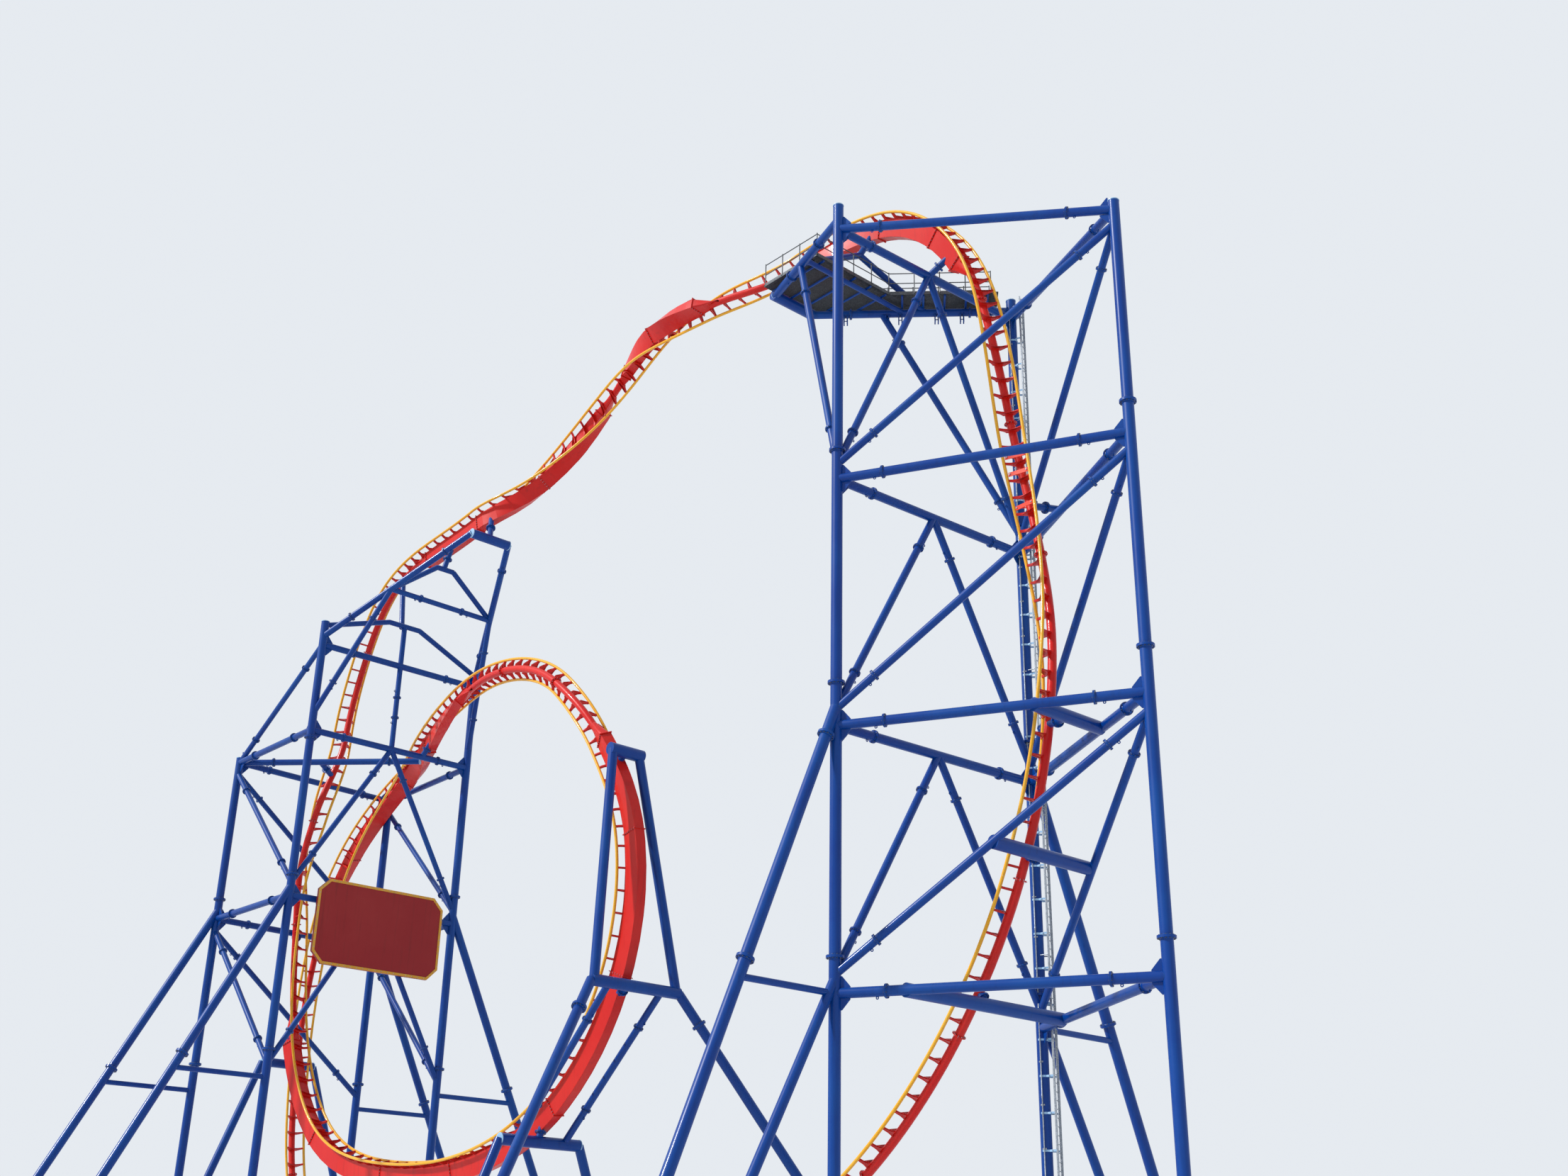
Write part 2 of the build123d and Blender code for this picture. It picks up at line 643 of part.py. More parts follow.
def crest_platform():
    node = "platform_frame"
    a, c = at(FRONT_COLUMN, PLATFORM_LEVEL), at(REAR_COLUMN, PLATFORM_LEVEL)
    corner = platform_corner()
    arm_end = (OUTER_TUBE_X, ARM_END_Y, PLATFORM_LEVEL)
    tube(node, (OUTER_TUBE_X, OUTER_TUBE_FRONT_Y, PLATFORM_LEVEL), corner, CROSS_TUBE_RADIUS)
    tube(node, a, arm_end, BEAM_RADIUS)
    tube(node, corner, c, BEAM_RADIUS)
    toe = MID_LEVEL + BRACE_STEP
    tube(node, toward(a, arm_end, ARM_BRACE_SHARE), at(FRONT_COLUMN, toe), BRACE_RADIUS)
    tube(node, toward(corner, c, REAR_BRACE_SHARE), at(REAR_COLUMN, toe + BEAM_RADIUS), BRACE_RADIUS)
    for start, head in portal_legs():
        tube(node, start, head, BRACE_RADIUS)
    bracket("right_cross_tubes", PORTAL_HEAD, (13, 14))
    level = PLATFORM_LEVEL + CROSS_TUBE_RADIUS - BEARER_RADIUS
    front = toward(a, arm_end, (STRINGER_X - a[0]) / (arm_end[0] - a[0]))
    rear = toward(corner, c, (STRINGER_X - corner[0]) / (c[0] - corner[0]))
    stringer = level - BEARER_RADIUS - SMALL_BRACE_RADIUS
    tube(node, (*front[:2], stringer), (*rear[:2], stringer), SMALL_BRACE_RADIUS)
    near = DECK_NEAR_X - HANDRAIL_INSET
    y = OUTER_TUBE_FRONT_Y
    while y < beside_walkway(walkway_share(near, WALKWAY_WIDTH), WALKWAY_WIDTH)[1]:
        start = OUTER_TUBE_X
        if y > OUTER_TUBE_REAR_Y:
            start = toward(corner, c, (y - corner[1]) / (c[1] - corner[1]))[0]
        tube(node, (start, y, level), (near, y, level), BEARER_RADIUS)
        y += BEARER_PITCH
    share = walkway_share(DECK_NEAR_X, WALKWAY_WIDTH / 2)
    while share < WALKWAY_END_SHARE:
        edge = beside_walkway(share, WALKWAY_WIDTH - HANDRAIL_INSET)
        tube(node, (*beside_walkway(share, 0.0), level), (*edge, level), BEARER_RADIUS)
        share += BEARER_PITCH / math.dist(corner, c)


def deck():
    """The grating decks on the platform's tubes, with holes where the portal passes through them."""
    bottom = PLATFORM_LEVEL + CROSS_TUBE_RADIUS + CLEARANCE
    rear, near = -WALKWAY_SHELF, WALKWAY_WIDTH
    seam = DECK_NEAR_X + CLEARANCE
    main = [(DECK_EDGE_X, DECK_FRONT_Y), (DECK_NEAR_X, DECK_FRONT_Y)]
    main += [beside_walkway(walkway_share(x, rear), rear) for x in (DECK_NEAR_X, DECK_EDGE_X)]
    walkway = [beside_walkway(walkway_share(seam, near), near), beside_walkway(WALKWAY_END_SHARE, near)]
    walkway += [beside_walkway(WALKWAY_END_SHARE, rear), beside_walkway(walkway_share(seam, rear), rear)]
    holes = [bar(Vector(*p), Vector(*q), BRACE_RADIUS + LEG_HOLE_GAP) for p, q in portal_legs()]
    plates = []
    for outline in (main, walkway):
        face = Face(Wire.make_polygon([Vector(*p, bottom) for p in outline], close=True))
        plates += Solid.extrude(face, Vector(0, 0, DECK_THICKNESS)).cut(*holes).solids()
    inset = HANDRAIL_INSET
    edge, turn = near - inset, DECK_NEAR_X - inset
    front = DECK_FRONT_Y + inset
    outside = DECK_EDGE_X + inset
    rear_rail = rear + inset
    open_side = [(outside, front), (turn, front), beside_walkway(walkway_share(turn, edge), edge)]
    open_side.append(beside_walkway(WALKWAY_END_SHARE - inset / WALKWAY_WIDTH, edge))
    rear_side = [(outside, front + HANDRAIL_BAY)]
    rear_side.append(beside_walkway(walkway_share(outside, rear_rail), rear_rail))
    rear_side.append(beside_walkway(WALKWAY_END_SHARE - inset / WALKWAY_WIDTH, rear_rail))
    floor = bottom + DECK_THICKNESS + CLEARANCE
    rails = handrail(open_side, floor) + handrail(rear_side, floor)
    return {"platform_deck": plates, "platform_handrail": rails}


def handrail(corners, floor):
    """Upright posts along a run of corners, with two rails between each pair of them."""
    posts = []
    for p, q in zip(corners, corners[1:]):
        bays = round(math.dist(p, q) / HANDRAIL_BAY)
        posts += [toward(p, q, k / bays) for k in range(bays)]
    posts.append(corners[-1])
    lift = Vector(0, 0, HANDRAIL_HEIGHT)
    bars = [bar(Vector(*p, floor), Vector(*p, floor) + lift, HANDRAIL_RADIUS) for p in posts]
    for height in (HANDRAIL_HEIGHT / 2, HANDRAIL_HEIGHT - HANDRAIL_RADIUS):
        for p, q in zip(posts, posts[1:]):
            start, end = Vector(*p, floor + height), Vector(*q, floor + height)
            trim = (end - start).normalized() * (HANDRAIL_RADIUS + CLEARANCE)
            bars.append(bar(start + trim, end - trim, HANDRAIL_RADIUS * 0.9))
    return bars


def ladder():
    """Two stringers up the rear column, held off it by short stays."""
    turn = math.radians(LADDER_TURN)
    out, wide = (math.cos(turn), math.sin(turn)), (-math.sin(turn), math.cos(turn))
    reach = COLUMN_RADIUS + LADDER_STANDOFF
    solids = []
    for side in (-LADDER_WIDTH / 2, LADDER_WIDTH / 2):
        x = REAR_COLUMN[0] + out[0] * reach + wide[0] * side
        y = REAR_COLUMN[1] + out[1] * reach + wide[1] * side
        solids.append(bar(Vector(x, y, LADDER_FOOT), Vector(x, y, REAR_COLUMN_TOP), STRINGER_RADIUS))
        middle = (REAR_COLUMN[0] + wide[0] * side * 0.6, REAR_COLUMN[1] + wide[1] * side * 0.6)
        column_top = Vector(*REAR_COLUMN, REAR_COLUMN_TOP)
        column_bar = bar(Vector(*REAR_COLUMN, 0), column_top, COLUMN_RADIUS + CLEARANCE)
        rail = bar(Vector(x, y, 0), Vector(x, y, REAR_COLUMN_TOP + 50), STRINGER_RADIUS + CLEARANCE)
        for k in range(STAY_COUNT):
            z = LADDER_FOOT + 40.0 + (REAR_COLUMN_TOP - LADDER_FOOT - 80.0) * k / (STAY_COUNT - 1)
            stay = bar(Vector(*middle, z), Vector(x, y, z), STAY_RADIUS).cut(column_bar, rail)
            solids.append(max(stay.solids(), key=lambda s: s.volume))
    return {"column_ladder": solids}


def board():
    """A plain board with cut corners on the left tower's lower beam, with two stubs behind."""
    face = LEFT_EAST_X + LEFT_BEAM_RADIUS + BOARD_STANDOFF
    middle = (LEFT_FRONT_Y + LEFT_REAR_Y) / 2 + BOARD_SHIFT
    half, low, high = BOARD_WIDTH / 2, BOARD_TOP - BOARD_HEIGHT, BOARD_TOP
    inner, cut = half - BOARD_CORNER, BOARD_CORNER
    right = [(inner, high), (half, high - cut), (half, low + cut), (inner, low)]
    outline = [(middle + y, z) for y, z in right] + [(middle - y, z) for y, z in reversed(right)]
    wire = Wire.make_polygon([Vector(face, y, z) for y, z in outline], close=True)
    plate = Solid.extrude(Face(wire), Vector(BOARD_THICKNESS, 0, 0))
    beam = LEFT_EAST_X + LEFT_BEAM_RADIUS
    for side in (-1, 1):
        y = middle + side * half * BOARD_STUB_SHARE
        start, end = (beam - 8.0, y, LEFT_LOW_LEVEL), (face - CLEARANCE, y, LEFT_LOW_LEVEL)
        tube("sign_board", start, end, SMALL_BRACE_RADIUS)
    return plate


def left_tower():
    l1, l2 = (LEFT_WEST_X, LEFT_FRONT_Y), (LEFT_EAST_X, LEFT_FRONT_Y)
    l3, l4 = (LEFT_EAST_X, LEFT_REAR_Y), (LEFT_WEST_X - 80.0, LEFT_REAR_Y + 40.0)
    r = LEFT_COLUMN_RADIUS
    standing("left_front_outer_column", l1, LEFT_LEVEL + 25.0, r, [1270.0, 2090.0])
    standing("left_front_inner_column", l2, LEFT_TOP + 60.0, r, [1270.0, 2090.0, 2780.0])
    standing("left_rear_inner_column", l3, LEFT_TOP, r, [1270.0, 2130.0])
    standing("left_rear_outer_column", l4, LEFT_LEVEL + 25.0, r, [1270.0, 2090.0])
    sides = [
        ("left_front_bracing", l1, l2), ("left_inner_bracing", l2, l3),
        ("left_rear_bracing", l3, l4), ("left_outer_bracing", l4, l1),
    ]
    for node, p, q in sides:
        for level in (LEFT_LEVEL, LEFT_LOW_LEVEL):
            tube(node, at(p, level), at(q, level), LEFT_BEAM_RADIUS)
    tube("left_inner_bracing", at(l2, LEFT_BEAM_TOP), at(l3, LEFT_BEAM_TOP), LEFT_BEAM_RADIUS)
    apex = toward(at(l2, LEFT_LEVEL), at(l3, LEFT_LEVEL), 0.5)
    bracket("left_inner_bracing", toward(at(l2, LEFT_LEVEL), at(l3, LEFT_LEVEL), 0.7), (38,))
    low_apex = toward(at(l2, LEFT_LOW_LEVEL), at(l3, LEFT_LOW_LEVEL), 0.5)
    for column in (l2, l3):
        tube("left_inner_bracing", apex, at(column, LEFT_LOW_LEVEL + BRACE_STEP), LEFT_BRACE_RADIUS)
        tube("left_inner_bracing", low_apex, at(column, LEFT_BASE_LEVEL + BRACE_STEP), LEFT_BRACE_RADIUS)
    tube("left_front_bracing", at(l1, LEFT_LEVEL), at(l2, LEFT_BEAM_TOP), LEFT_BRACE_RADIUS)
    diagonals = [
        ("left_front_bracing", l1, l2), ("left_rear_bracing", l4, l3), ("left_outer_bracing", l1, l4),
    ]
    for high, low in ((LEFT_LEVEL, LEFT_LOW_LEVEL), (LEFT_LOW_LEVEL, LEFT_BASE_LEVEL)):
        for node, p, q in diagonals:
            tube(node, at(p, high - BRACE_STEP), at(q, low + BRACE_STEP), LEFT_BRACE_RADIUS)
    node = "left_top_frame"
    near = (TOP_FRAME_X, DROP_Y - 100.0, TOP_FRAME_LEVEL)
    far = (TOP_FRAME_X, DROP_Y + 120.0, TOP_FRAME_LEVEL)
    tube(node, near, far, CROSS_TUBE_RADIUS)
    bracket(node, toward(near, far, 0.5), (19, 20, 21))
    tube(node, at(l2, LEFT_TOP - 20.0), near, LEFT_BEAM_RADIUS)
    tube(node, at(l3, LEFT_TOP - 30.0), far, LEFT_BEAM_RADIUS)
    spine_y = DROP_Y - 10.0
    arch = [at(l2, LEFT_TOP + 40.0), (LEFT_EAST_X, spine_y - 90.0, ARCH_LEVEL)]
    arch += [(LEFT_EAST_X, spine_y + 90.0, ARCH_LEVEL), at(l3, LEFT_TOP - 5.0)]
    for p, q in zip(arch, arch[1:]):
        tube(node, p, q, LEFT_BRACE_RADIUS)
    tube("left_inner_bracing", apex, toward(arch[1], arch[2], 0.5), LEFT_BRACE_RADIUS)
    upper = [toward(at(l2, LEFT_TOP - 20.0), near, UPPER_ARCH_SHARE)]
    upper += [(upper[0][0], spine_y + side, UPPER_ARCH_LEVEL) for side in (-35.0, 60.0)]
    upper += [toward(at(l3, LEFT_TOP - 30.0), far, UPPER_ARCH_SHARE)]
    for p, q in zip(upper, upper[1:]):
        tube(node, p, q, LEFT_BRACE_RADIUS)
    tube(node, upper[0], upper[3], LEFT_BRACE_RADIUS)
    tube(node, upper[0], at(l2, KNEE_LEVEL), LEFT_BRACE_RADIUS)
    tube(node, upper[3], at(l3, KNEE_LEVEL), LEFT_BRACE_RADIUS)
    bracket(node, toward(upper[1], upper[2], 0.4), (20, 21))
    post = (LEFT_EAST_X - 30.0, spine_y)
    beam = (LEFT_EAST_X - 70.0, LEFT_REAR_Y - 240.0, LEFT_LEVEL)
    tube("left_track_tubes", at(l1, LEFT_LEVEL), beam, LEFT_BEAM_RADIUS)
    bracket("left_track_tubes", toward(at(l1, LEFT_LEVEL), beam, 0.45), (24, 25))
    bracket("left_track_tubes", at(post, ARCH_LEVEL), (21, 22))
    bracket("left_track_tubes", at(l4, LEFT_LEVEL), (39, 40))
    bracket("left_track_tubes", toward(at(l4, LEFT_LOW_LEVEL), at(l1, LEFT_LOW_LEVEL), 0.5), (26, 27))
    for node, p, way in (("left_front_legs", l1, -1), ("left_front_legs", l2, -1),
                         ("left_rear_legs", l3, 1), ("left_rear_legs", l4, 1)):
        on = leg(node, at(p, LEFT_LEG_HEAD), way * LEFT_LEG_SLOPE, LEFT_COLUMN_RADIUS, [1210.0])
        tube(node, at(p, LEFT_BASE_LEVEL), on(LEFT_BASE_LEVEL), SMALL_BRACE_RADIUS)


def loop_frame():
    node = "loop_frame"
    y = -305.0
    head = [(LOOP_HEAD_X, LOOP_HEAD_Y + side * LOOP_HEAD_HALF, LOOP_FRAME_TOP) for side in (-1, 1)]
    bar_ends = [(LOOP_BAR_X, y - 185.0, LOOP_FRAME_MID), (LOOP_BAR_X, y + 255.0, LOOP_FRAME_MID)]
    low_ends = [(LOOP_LOW_X, y - 190.0, LOOP_FRAME_LOW), (LOOP_LOW_X, y + 200.0, LOOP_FRAME_LOW)]
    tube(node, *head, LOOP_HEAD_RADIUS)
    tube(node, *bar_ends, CROSS_TUBE_RADIUS)
    tube(node, *low_ends, CROSS_TUBE_RADIUS)
    for k, way in ((0, -1), (1, 1)):
        tube(node, toward(*head, 0.1 + 0.8 * k), toward(*bar_ends, 0.03 + 0.94 * k), LEFT_COLUMN_RADIUS)
        spread = way * LOOP_LEG_SPREAD
        leg("loop_frame_legs", bar_ends[k], spread, LEFT_COLUMN_RADIUS, [1250.0], LOOP_LEG_LEAN)
        tube(node, toward(*bar_ends, 0.2 + 0.6 * k), toward(*low_ends, 0.2 + 0.6 * k), BRACE_RADIUS)
        leg("loop_frame_legs", low_ends[k], way * LOOP_LOW_LEG_SPREAD, LEFT_COLUMN_RADIUS)
    bracket(node, toward(*head, 0.5), (34,))
    bracket(node, toward(*bar_ends, 0.42), (31, 32, 33))
    bracket(node, toward(*low_ends, 0.48), (30, 31, 32))


def pull_out_frame():
    """The frame outside the loop's left leg."""
    node = "pull_out_frame"
    ends = [(PULL_OUT_BAR_X, side * PULL_OUT_BAR_HALF, PULL_OUT_BAR_LEVEL) for side in (-1, 1)]
    tube(node, *ends, CROSS_TUBE_RADIUS)
    for way, end in ((-1, ends[0]), (1, ends[1])):
        leg(node, end, way * PULL_OUT_LEG_SPREAD, LEFT_COLUMN_RADIUS)
    bracket(node, toward(*ends, 0.5), (42, 43))


def stands():
    """Short posts under the parts of the track that run near the floor."""
    for x, spans in ((-1850.0, (0,)), (-1350.0, (0,)), (-900.0, (1,)), (-465.0, (1, 2)), (0.0, (2,)),
                     (500.0, (3,)), (1000.0, (4,))):
        stand("launch_stands", (x, TRACK_Y), spans, POST_RADIUS)
    for x in (-1450.0, -900.0):
        stand("valley_stands", (x, DROP_Y), (29, 30), BRACE_RADIUS)


def build_supports():
    right_tower()
    right_track_tubes()
    crest_platform()
    left_tower()
    loop_frame()
    pull_out_frame()
    stands()
    plate = board()
    solids = fitted_tubes()
    solids["sign_board"].append(plate)
    solids.update(deck())
    solids.update(ladder())
    for node, start, seat, span, radius in BRACKETS:
        piece = bar(start, seat, radius).cut(*spine_bar(span, CLEARANCE, 0.0))
        for other, c, d, thick in TUBES:
            if gap_between(start, seat, c, d) < radius + thick + CLEARANCE:
                piece = piece.cut(bar(c, d, thick + CLEARANCE))
        biggest = max(piece.solids(), key=lambda s: s.volume)
        solids.setdefault(node, []).append(biggest)
    return solids


def build_track():
    solids = {}
    end_gap = FLANGE_THICKNESS / 2 + CLEARANCE
    for name, spans in SECTIONS:
        spine, rails, ties = [], [], []
        for span in spans:
            ends = [flange_at(span, CLEARANCE), flange_at((span + 1) % SPAN_COUNT, CLEARANCE)]
            for piece in spine_bar(span, 0.0, end_gap):
                spine += piece.cut(*ends).solids()
            spine.append(flange_at(span, 0.0))
            for side in (-GAUGE / 2, GAUGE / 2):
                rails += swept_round(span, side, 0.0, RAIL_RADIUS, CLEARANCE / 2)
            seat = spine_bar(span, CLEARANCE, 0.0)
            for share in tie_shares(span):
                ties += tie(span, share).cut(*seat).solids()
        solids[name + "_spine"] = spine
        solids[name + "_rails"] = rails
        solids[name + "_ties"] = ties
    return solids


def flange_at(span, extra):
    """The bolted joint plate at the start of a span, or the room that it takes."""
    form = BOX if BOX in (spine_form(span), spine_form(span - 1)) else ROUND
    point, way, up, across = path_frame(span, 0.0, spine_middle(form))
    half = way * (FLANGE_THICKNESS / 2 + extra)
    if form == ROUND:
        return bar(point - half, point + half, SPINE_RADIUS + FLANGE_LIP + extra)
    a, b = BOX_WIDTH / 2 + BOX_FLANGE_LIP + extra, BOX_DEPTH / 2 + BOX_FLANGE_LIP + extra
    corners = [(-a, b), (a, b), (a, -b), (-a, -b)]
    face = Face(Wire.make_polygon([point - half + across * p + up * q for p, q in corners], close=True))
    return Solid.extrude(face, half * 2)


def main():
    os.makedirs("parts", exist_ok=True)
    nodes = build_supports()
    nodes.update(build_track())
    for name, solids in nodes.items():
        export_step(Compound(children=solids), f"parts/{name}.step")


main()
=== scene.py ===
# %% [markdown]
# # A launched steel coaster, dressed in cells
# The packed model gives every tube, rail, spine and tie at one tenth of its real size, in metres.
# This lesson loads it, gives each part a painted steel finish, and adds the small pieces that a viewer
# notices next: ring flanges and bolts, curved ties, weld beads, ladder rungs, grating and gussets.

# %% Load the frame
import math

import bmesh
import bpy
import numpy as np
from mathutils import Matrix, Vector


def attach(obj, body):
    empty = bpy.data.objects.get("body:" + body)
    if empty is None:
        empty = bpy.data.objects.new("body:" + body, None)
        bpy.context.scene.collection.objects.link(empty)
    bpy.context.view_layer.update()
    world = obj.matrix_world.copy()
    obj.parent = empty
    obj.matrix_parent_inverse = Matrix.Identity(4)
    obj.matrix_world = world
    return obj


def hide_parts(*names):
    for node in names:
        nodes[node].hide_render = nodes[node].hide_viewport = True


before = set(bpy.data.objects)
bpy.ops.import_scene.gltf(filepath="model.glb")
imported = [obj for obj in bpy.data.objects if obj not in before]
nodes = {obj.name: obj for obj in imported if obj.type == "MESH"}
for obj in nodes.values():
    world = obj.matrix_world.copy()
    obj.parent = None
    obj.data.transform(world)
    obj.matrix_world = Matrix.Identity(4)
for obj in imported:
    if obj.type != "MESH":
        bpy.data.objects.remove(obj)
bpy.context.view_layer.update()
MM = 0.001

# %% [markdown]
# ## Finding the solids inside a node
# A node holds several solids that don't touch, such as the two halves of a column and the ring flange
# between. Bolts have to sit on those flanges, so the first helper splits a mesh into its loose parts and
# measures each one: its middle, its three main directions and its half size along each. The numbers could
# be typed in by hand, but reading them from the mesh keeps each bolt right if the model changes.

# %% Loose parts of a mesh
MERGE_STEPS = 20000  # in a metre, so points that share a step of 0.05 mm count as one


def loose_parts(name):
    """Middle, directions (longest first), half sizes and points of each solid in a node."""
    mesh = nodes[name].data
    points = np.empty(len(mesh.vertices) * 3)
    mesh.vertices.foreach_get("co", points)
    points = points.reshape(-1, 3)
    keys, first = {}, np.empty(len(points), int)
    for k, p in enumerate(np.round(points * MERGE_STEPS).astype(int)):
        first[k] = keys.setdefault(tuple(p), k)
    parent = list(range(len(points)))

    def root(k):
        while parent[k] != k:
            parent[k] = parent[parent[k]]
            k = parent[k]
        return k

    edges = np.empty(len(mesh.edges) * 2, int)
    mesh.edges.foreach_get("vertices", edges)
    for a, b in first[edges].reshape(-1, 2):
        ra, rb = root(a), root(b)
        if ra != rb:
            parent[ra] = rb
    groups = {}
    for k in range(len(points)):
        groups.setdefault(root(first[k]), []).append(k)
    parts = []
    for members in groups.values():
        own = np.unique(np.round(points[members], 6), axis=0)
        ways = np.linalg.eigh(np.cov((own - own.mean(0)).T))[1].T[::-1]
        reach = (own - own.mean(0)) @ ways.T
        centre = own.mean(0) + ((reach.max(0) + reach.min(0)) / 2) @ ways
        halves = (reach.max(0) - reach.min(0)) / 2
        order = np.argsort(-halves)
        parts.append((Vector(centre), [Vector(ways[k]) for k in order], [halves[k] for k in order], own))
    return parts


parts_of = {name: loose_parts(name) for name in nodes}
print("solids", sum(len(p) for p in parts_of.values()))

# %% [markdown]
# ## Finding the tubes
# Most of the solids are tubes, many with ends cut to fit round another tube. The main directions of such
# a solid lean a little towards its longer side, and a ring flange placed by them would sit crooked. A
# least squares fit finds the axis from which the points are equally far, which is exact for a tube. It
# leaves out the few points inside the cut ends, whose distance is far from the usual one.

# %% Fit an axis to each tube
# The fit is made again with each band: the points within this share of the usual radius are kept.
KEPT_BANDS = (0.7, 0.7, 0.7, 0.5, 0.3, 0.2, 0.2, 0.1, 0.1, 0.05, 0.05, 0.02, 0.02)
OFF_AXIS = [0.31, 0.52, 0.79]  # a direction that no tube runs along
TUBE_MISS = 0.3 * MM
NOT_TUBES = ("_spine", "_ties", "_rails", "_deck", "_handrail")


def fit_tube(points, middle, way):
    """Start, end and radius of the round tube through these points, or None if they aren't one."""
    middle, way = np.array(middle), np.array(way)
    for band in KEPT_BANDS:
        side = np.cross(way, OFF_AXIS)
        side /= np.linalg.norm(side)
        other = np.cross(way, side)
        run, u, v = (points - middle) @ way, (points - middle) @ side, (points - middle) @ other
        far = np.hypot(u, v)
        usual = np.median(far)
        on = np.abs(far - usual) < band * usual
        if on.sum() < 0.5 * len(points):
            return None
        u, v, length = u[on] / far[on], v[on] / far[on], run[on]
        rows = np.column_stack([u, v, length * u, length * v, np.ones(len(u))])
        a, b, lean_a, lean_b, radius = np.linalg.lstsq(rows, far[on], rcond=None)[0]
        middle = middle + side * a + other * b
        way = way + side * lean_a + other * lean_b
        way /= np.linalg.norm(way)
    miss = np.abs(rows @ [0, 0, 0, 0, radius] - far[on]).max()
    run = (points - middle) @ way
    if miss > TUBE_MISS:
        return None
    return Vector(middle + way * run.min()), Vector(middle + way * run.max()), float(radius)


probe = parts_of["right_rear_column"][0]
print("a column's start, end and radius", fit_tube(probe[3], probe[0], probe[1][0]))

# %% Every tube in the model


def low_first(a, b):
    """The two ends of a tube, the lower one first."""
    return sorted((a, b), key=lambda p: p.z)


tubes = []
for name in nodes:
    if name.endswith(NOT_TUBES):
        continue
    for middle, ways, halves, own in parts_of[name]:
        disc = halves[2] < 0.5 * halves[1] and halves[1] > 0.9 * halves[0]
        found = fit_tube(own, middle, ways[2] if disc else ways[0])
        if found:
            tubes.append((name, *found))
print("tubes", len(tubes), "of radii in mm", sorted({round(t[3] / MM) for t in tubes}))

# %% [markdown]
# ## Paint with weather in it
# Coaster steel is shop painted and then stands in the sun for years. The gloss breaks up, rain leaves
# faint streaks down the tubes, and the coat has a soft orange peel. One shader group makes those three
# effects, so that blue, red and yellow paint all age in the same way and only their colours differ.

# %% Helpers for shader groups


def add_socket(group, name, kind, way, value=None):
    item = group.interface.new_socket(name=name, in_out=way, socket_type=kind)
    if value is not None:
        item.default_value = value


def node(tree, kind, at, **values):
    """A shader node; in_2=5.0 sets its third input, and other names set its own settings."""
    made = tree.nodes.new(kind)
    made.location = at
    for key, value in values.items():
        if key.startswith("in_"):
            made.inputs[int(key[3:])].default_value = value
        else:
            setattr(made, key, value)
    return made


def noise(tree, at, scale, detail, rough):
    return node(tree, "ShaderNodeTexNoise", at, in_2=scale, in_3=detail, in_4=rough)


def spread(tree, at, low, high):
    """A map range that turns low into 0 and high into 1."""
    return node(tree, "ShaderNodeMapRange", at, in_1=low, in_2=high)


def wire(tree, *links):
    """Each link goes from a node's output to a node's input, both by name or number."""
    for giver, output, taker, entry in links:
        tree.links.new(giver.outputs[output], taker.inputs[entry])


print("helpers", [helper.__name__ for helper in (add_socket, node, noise, spread, wire)])

# %% The weathered paint group


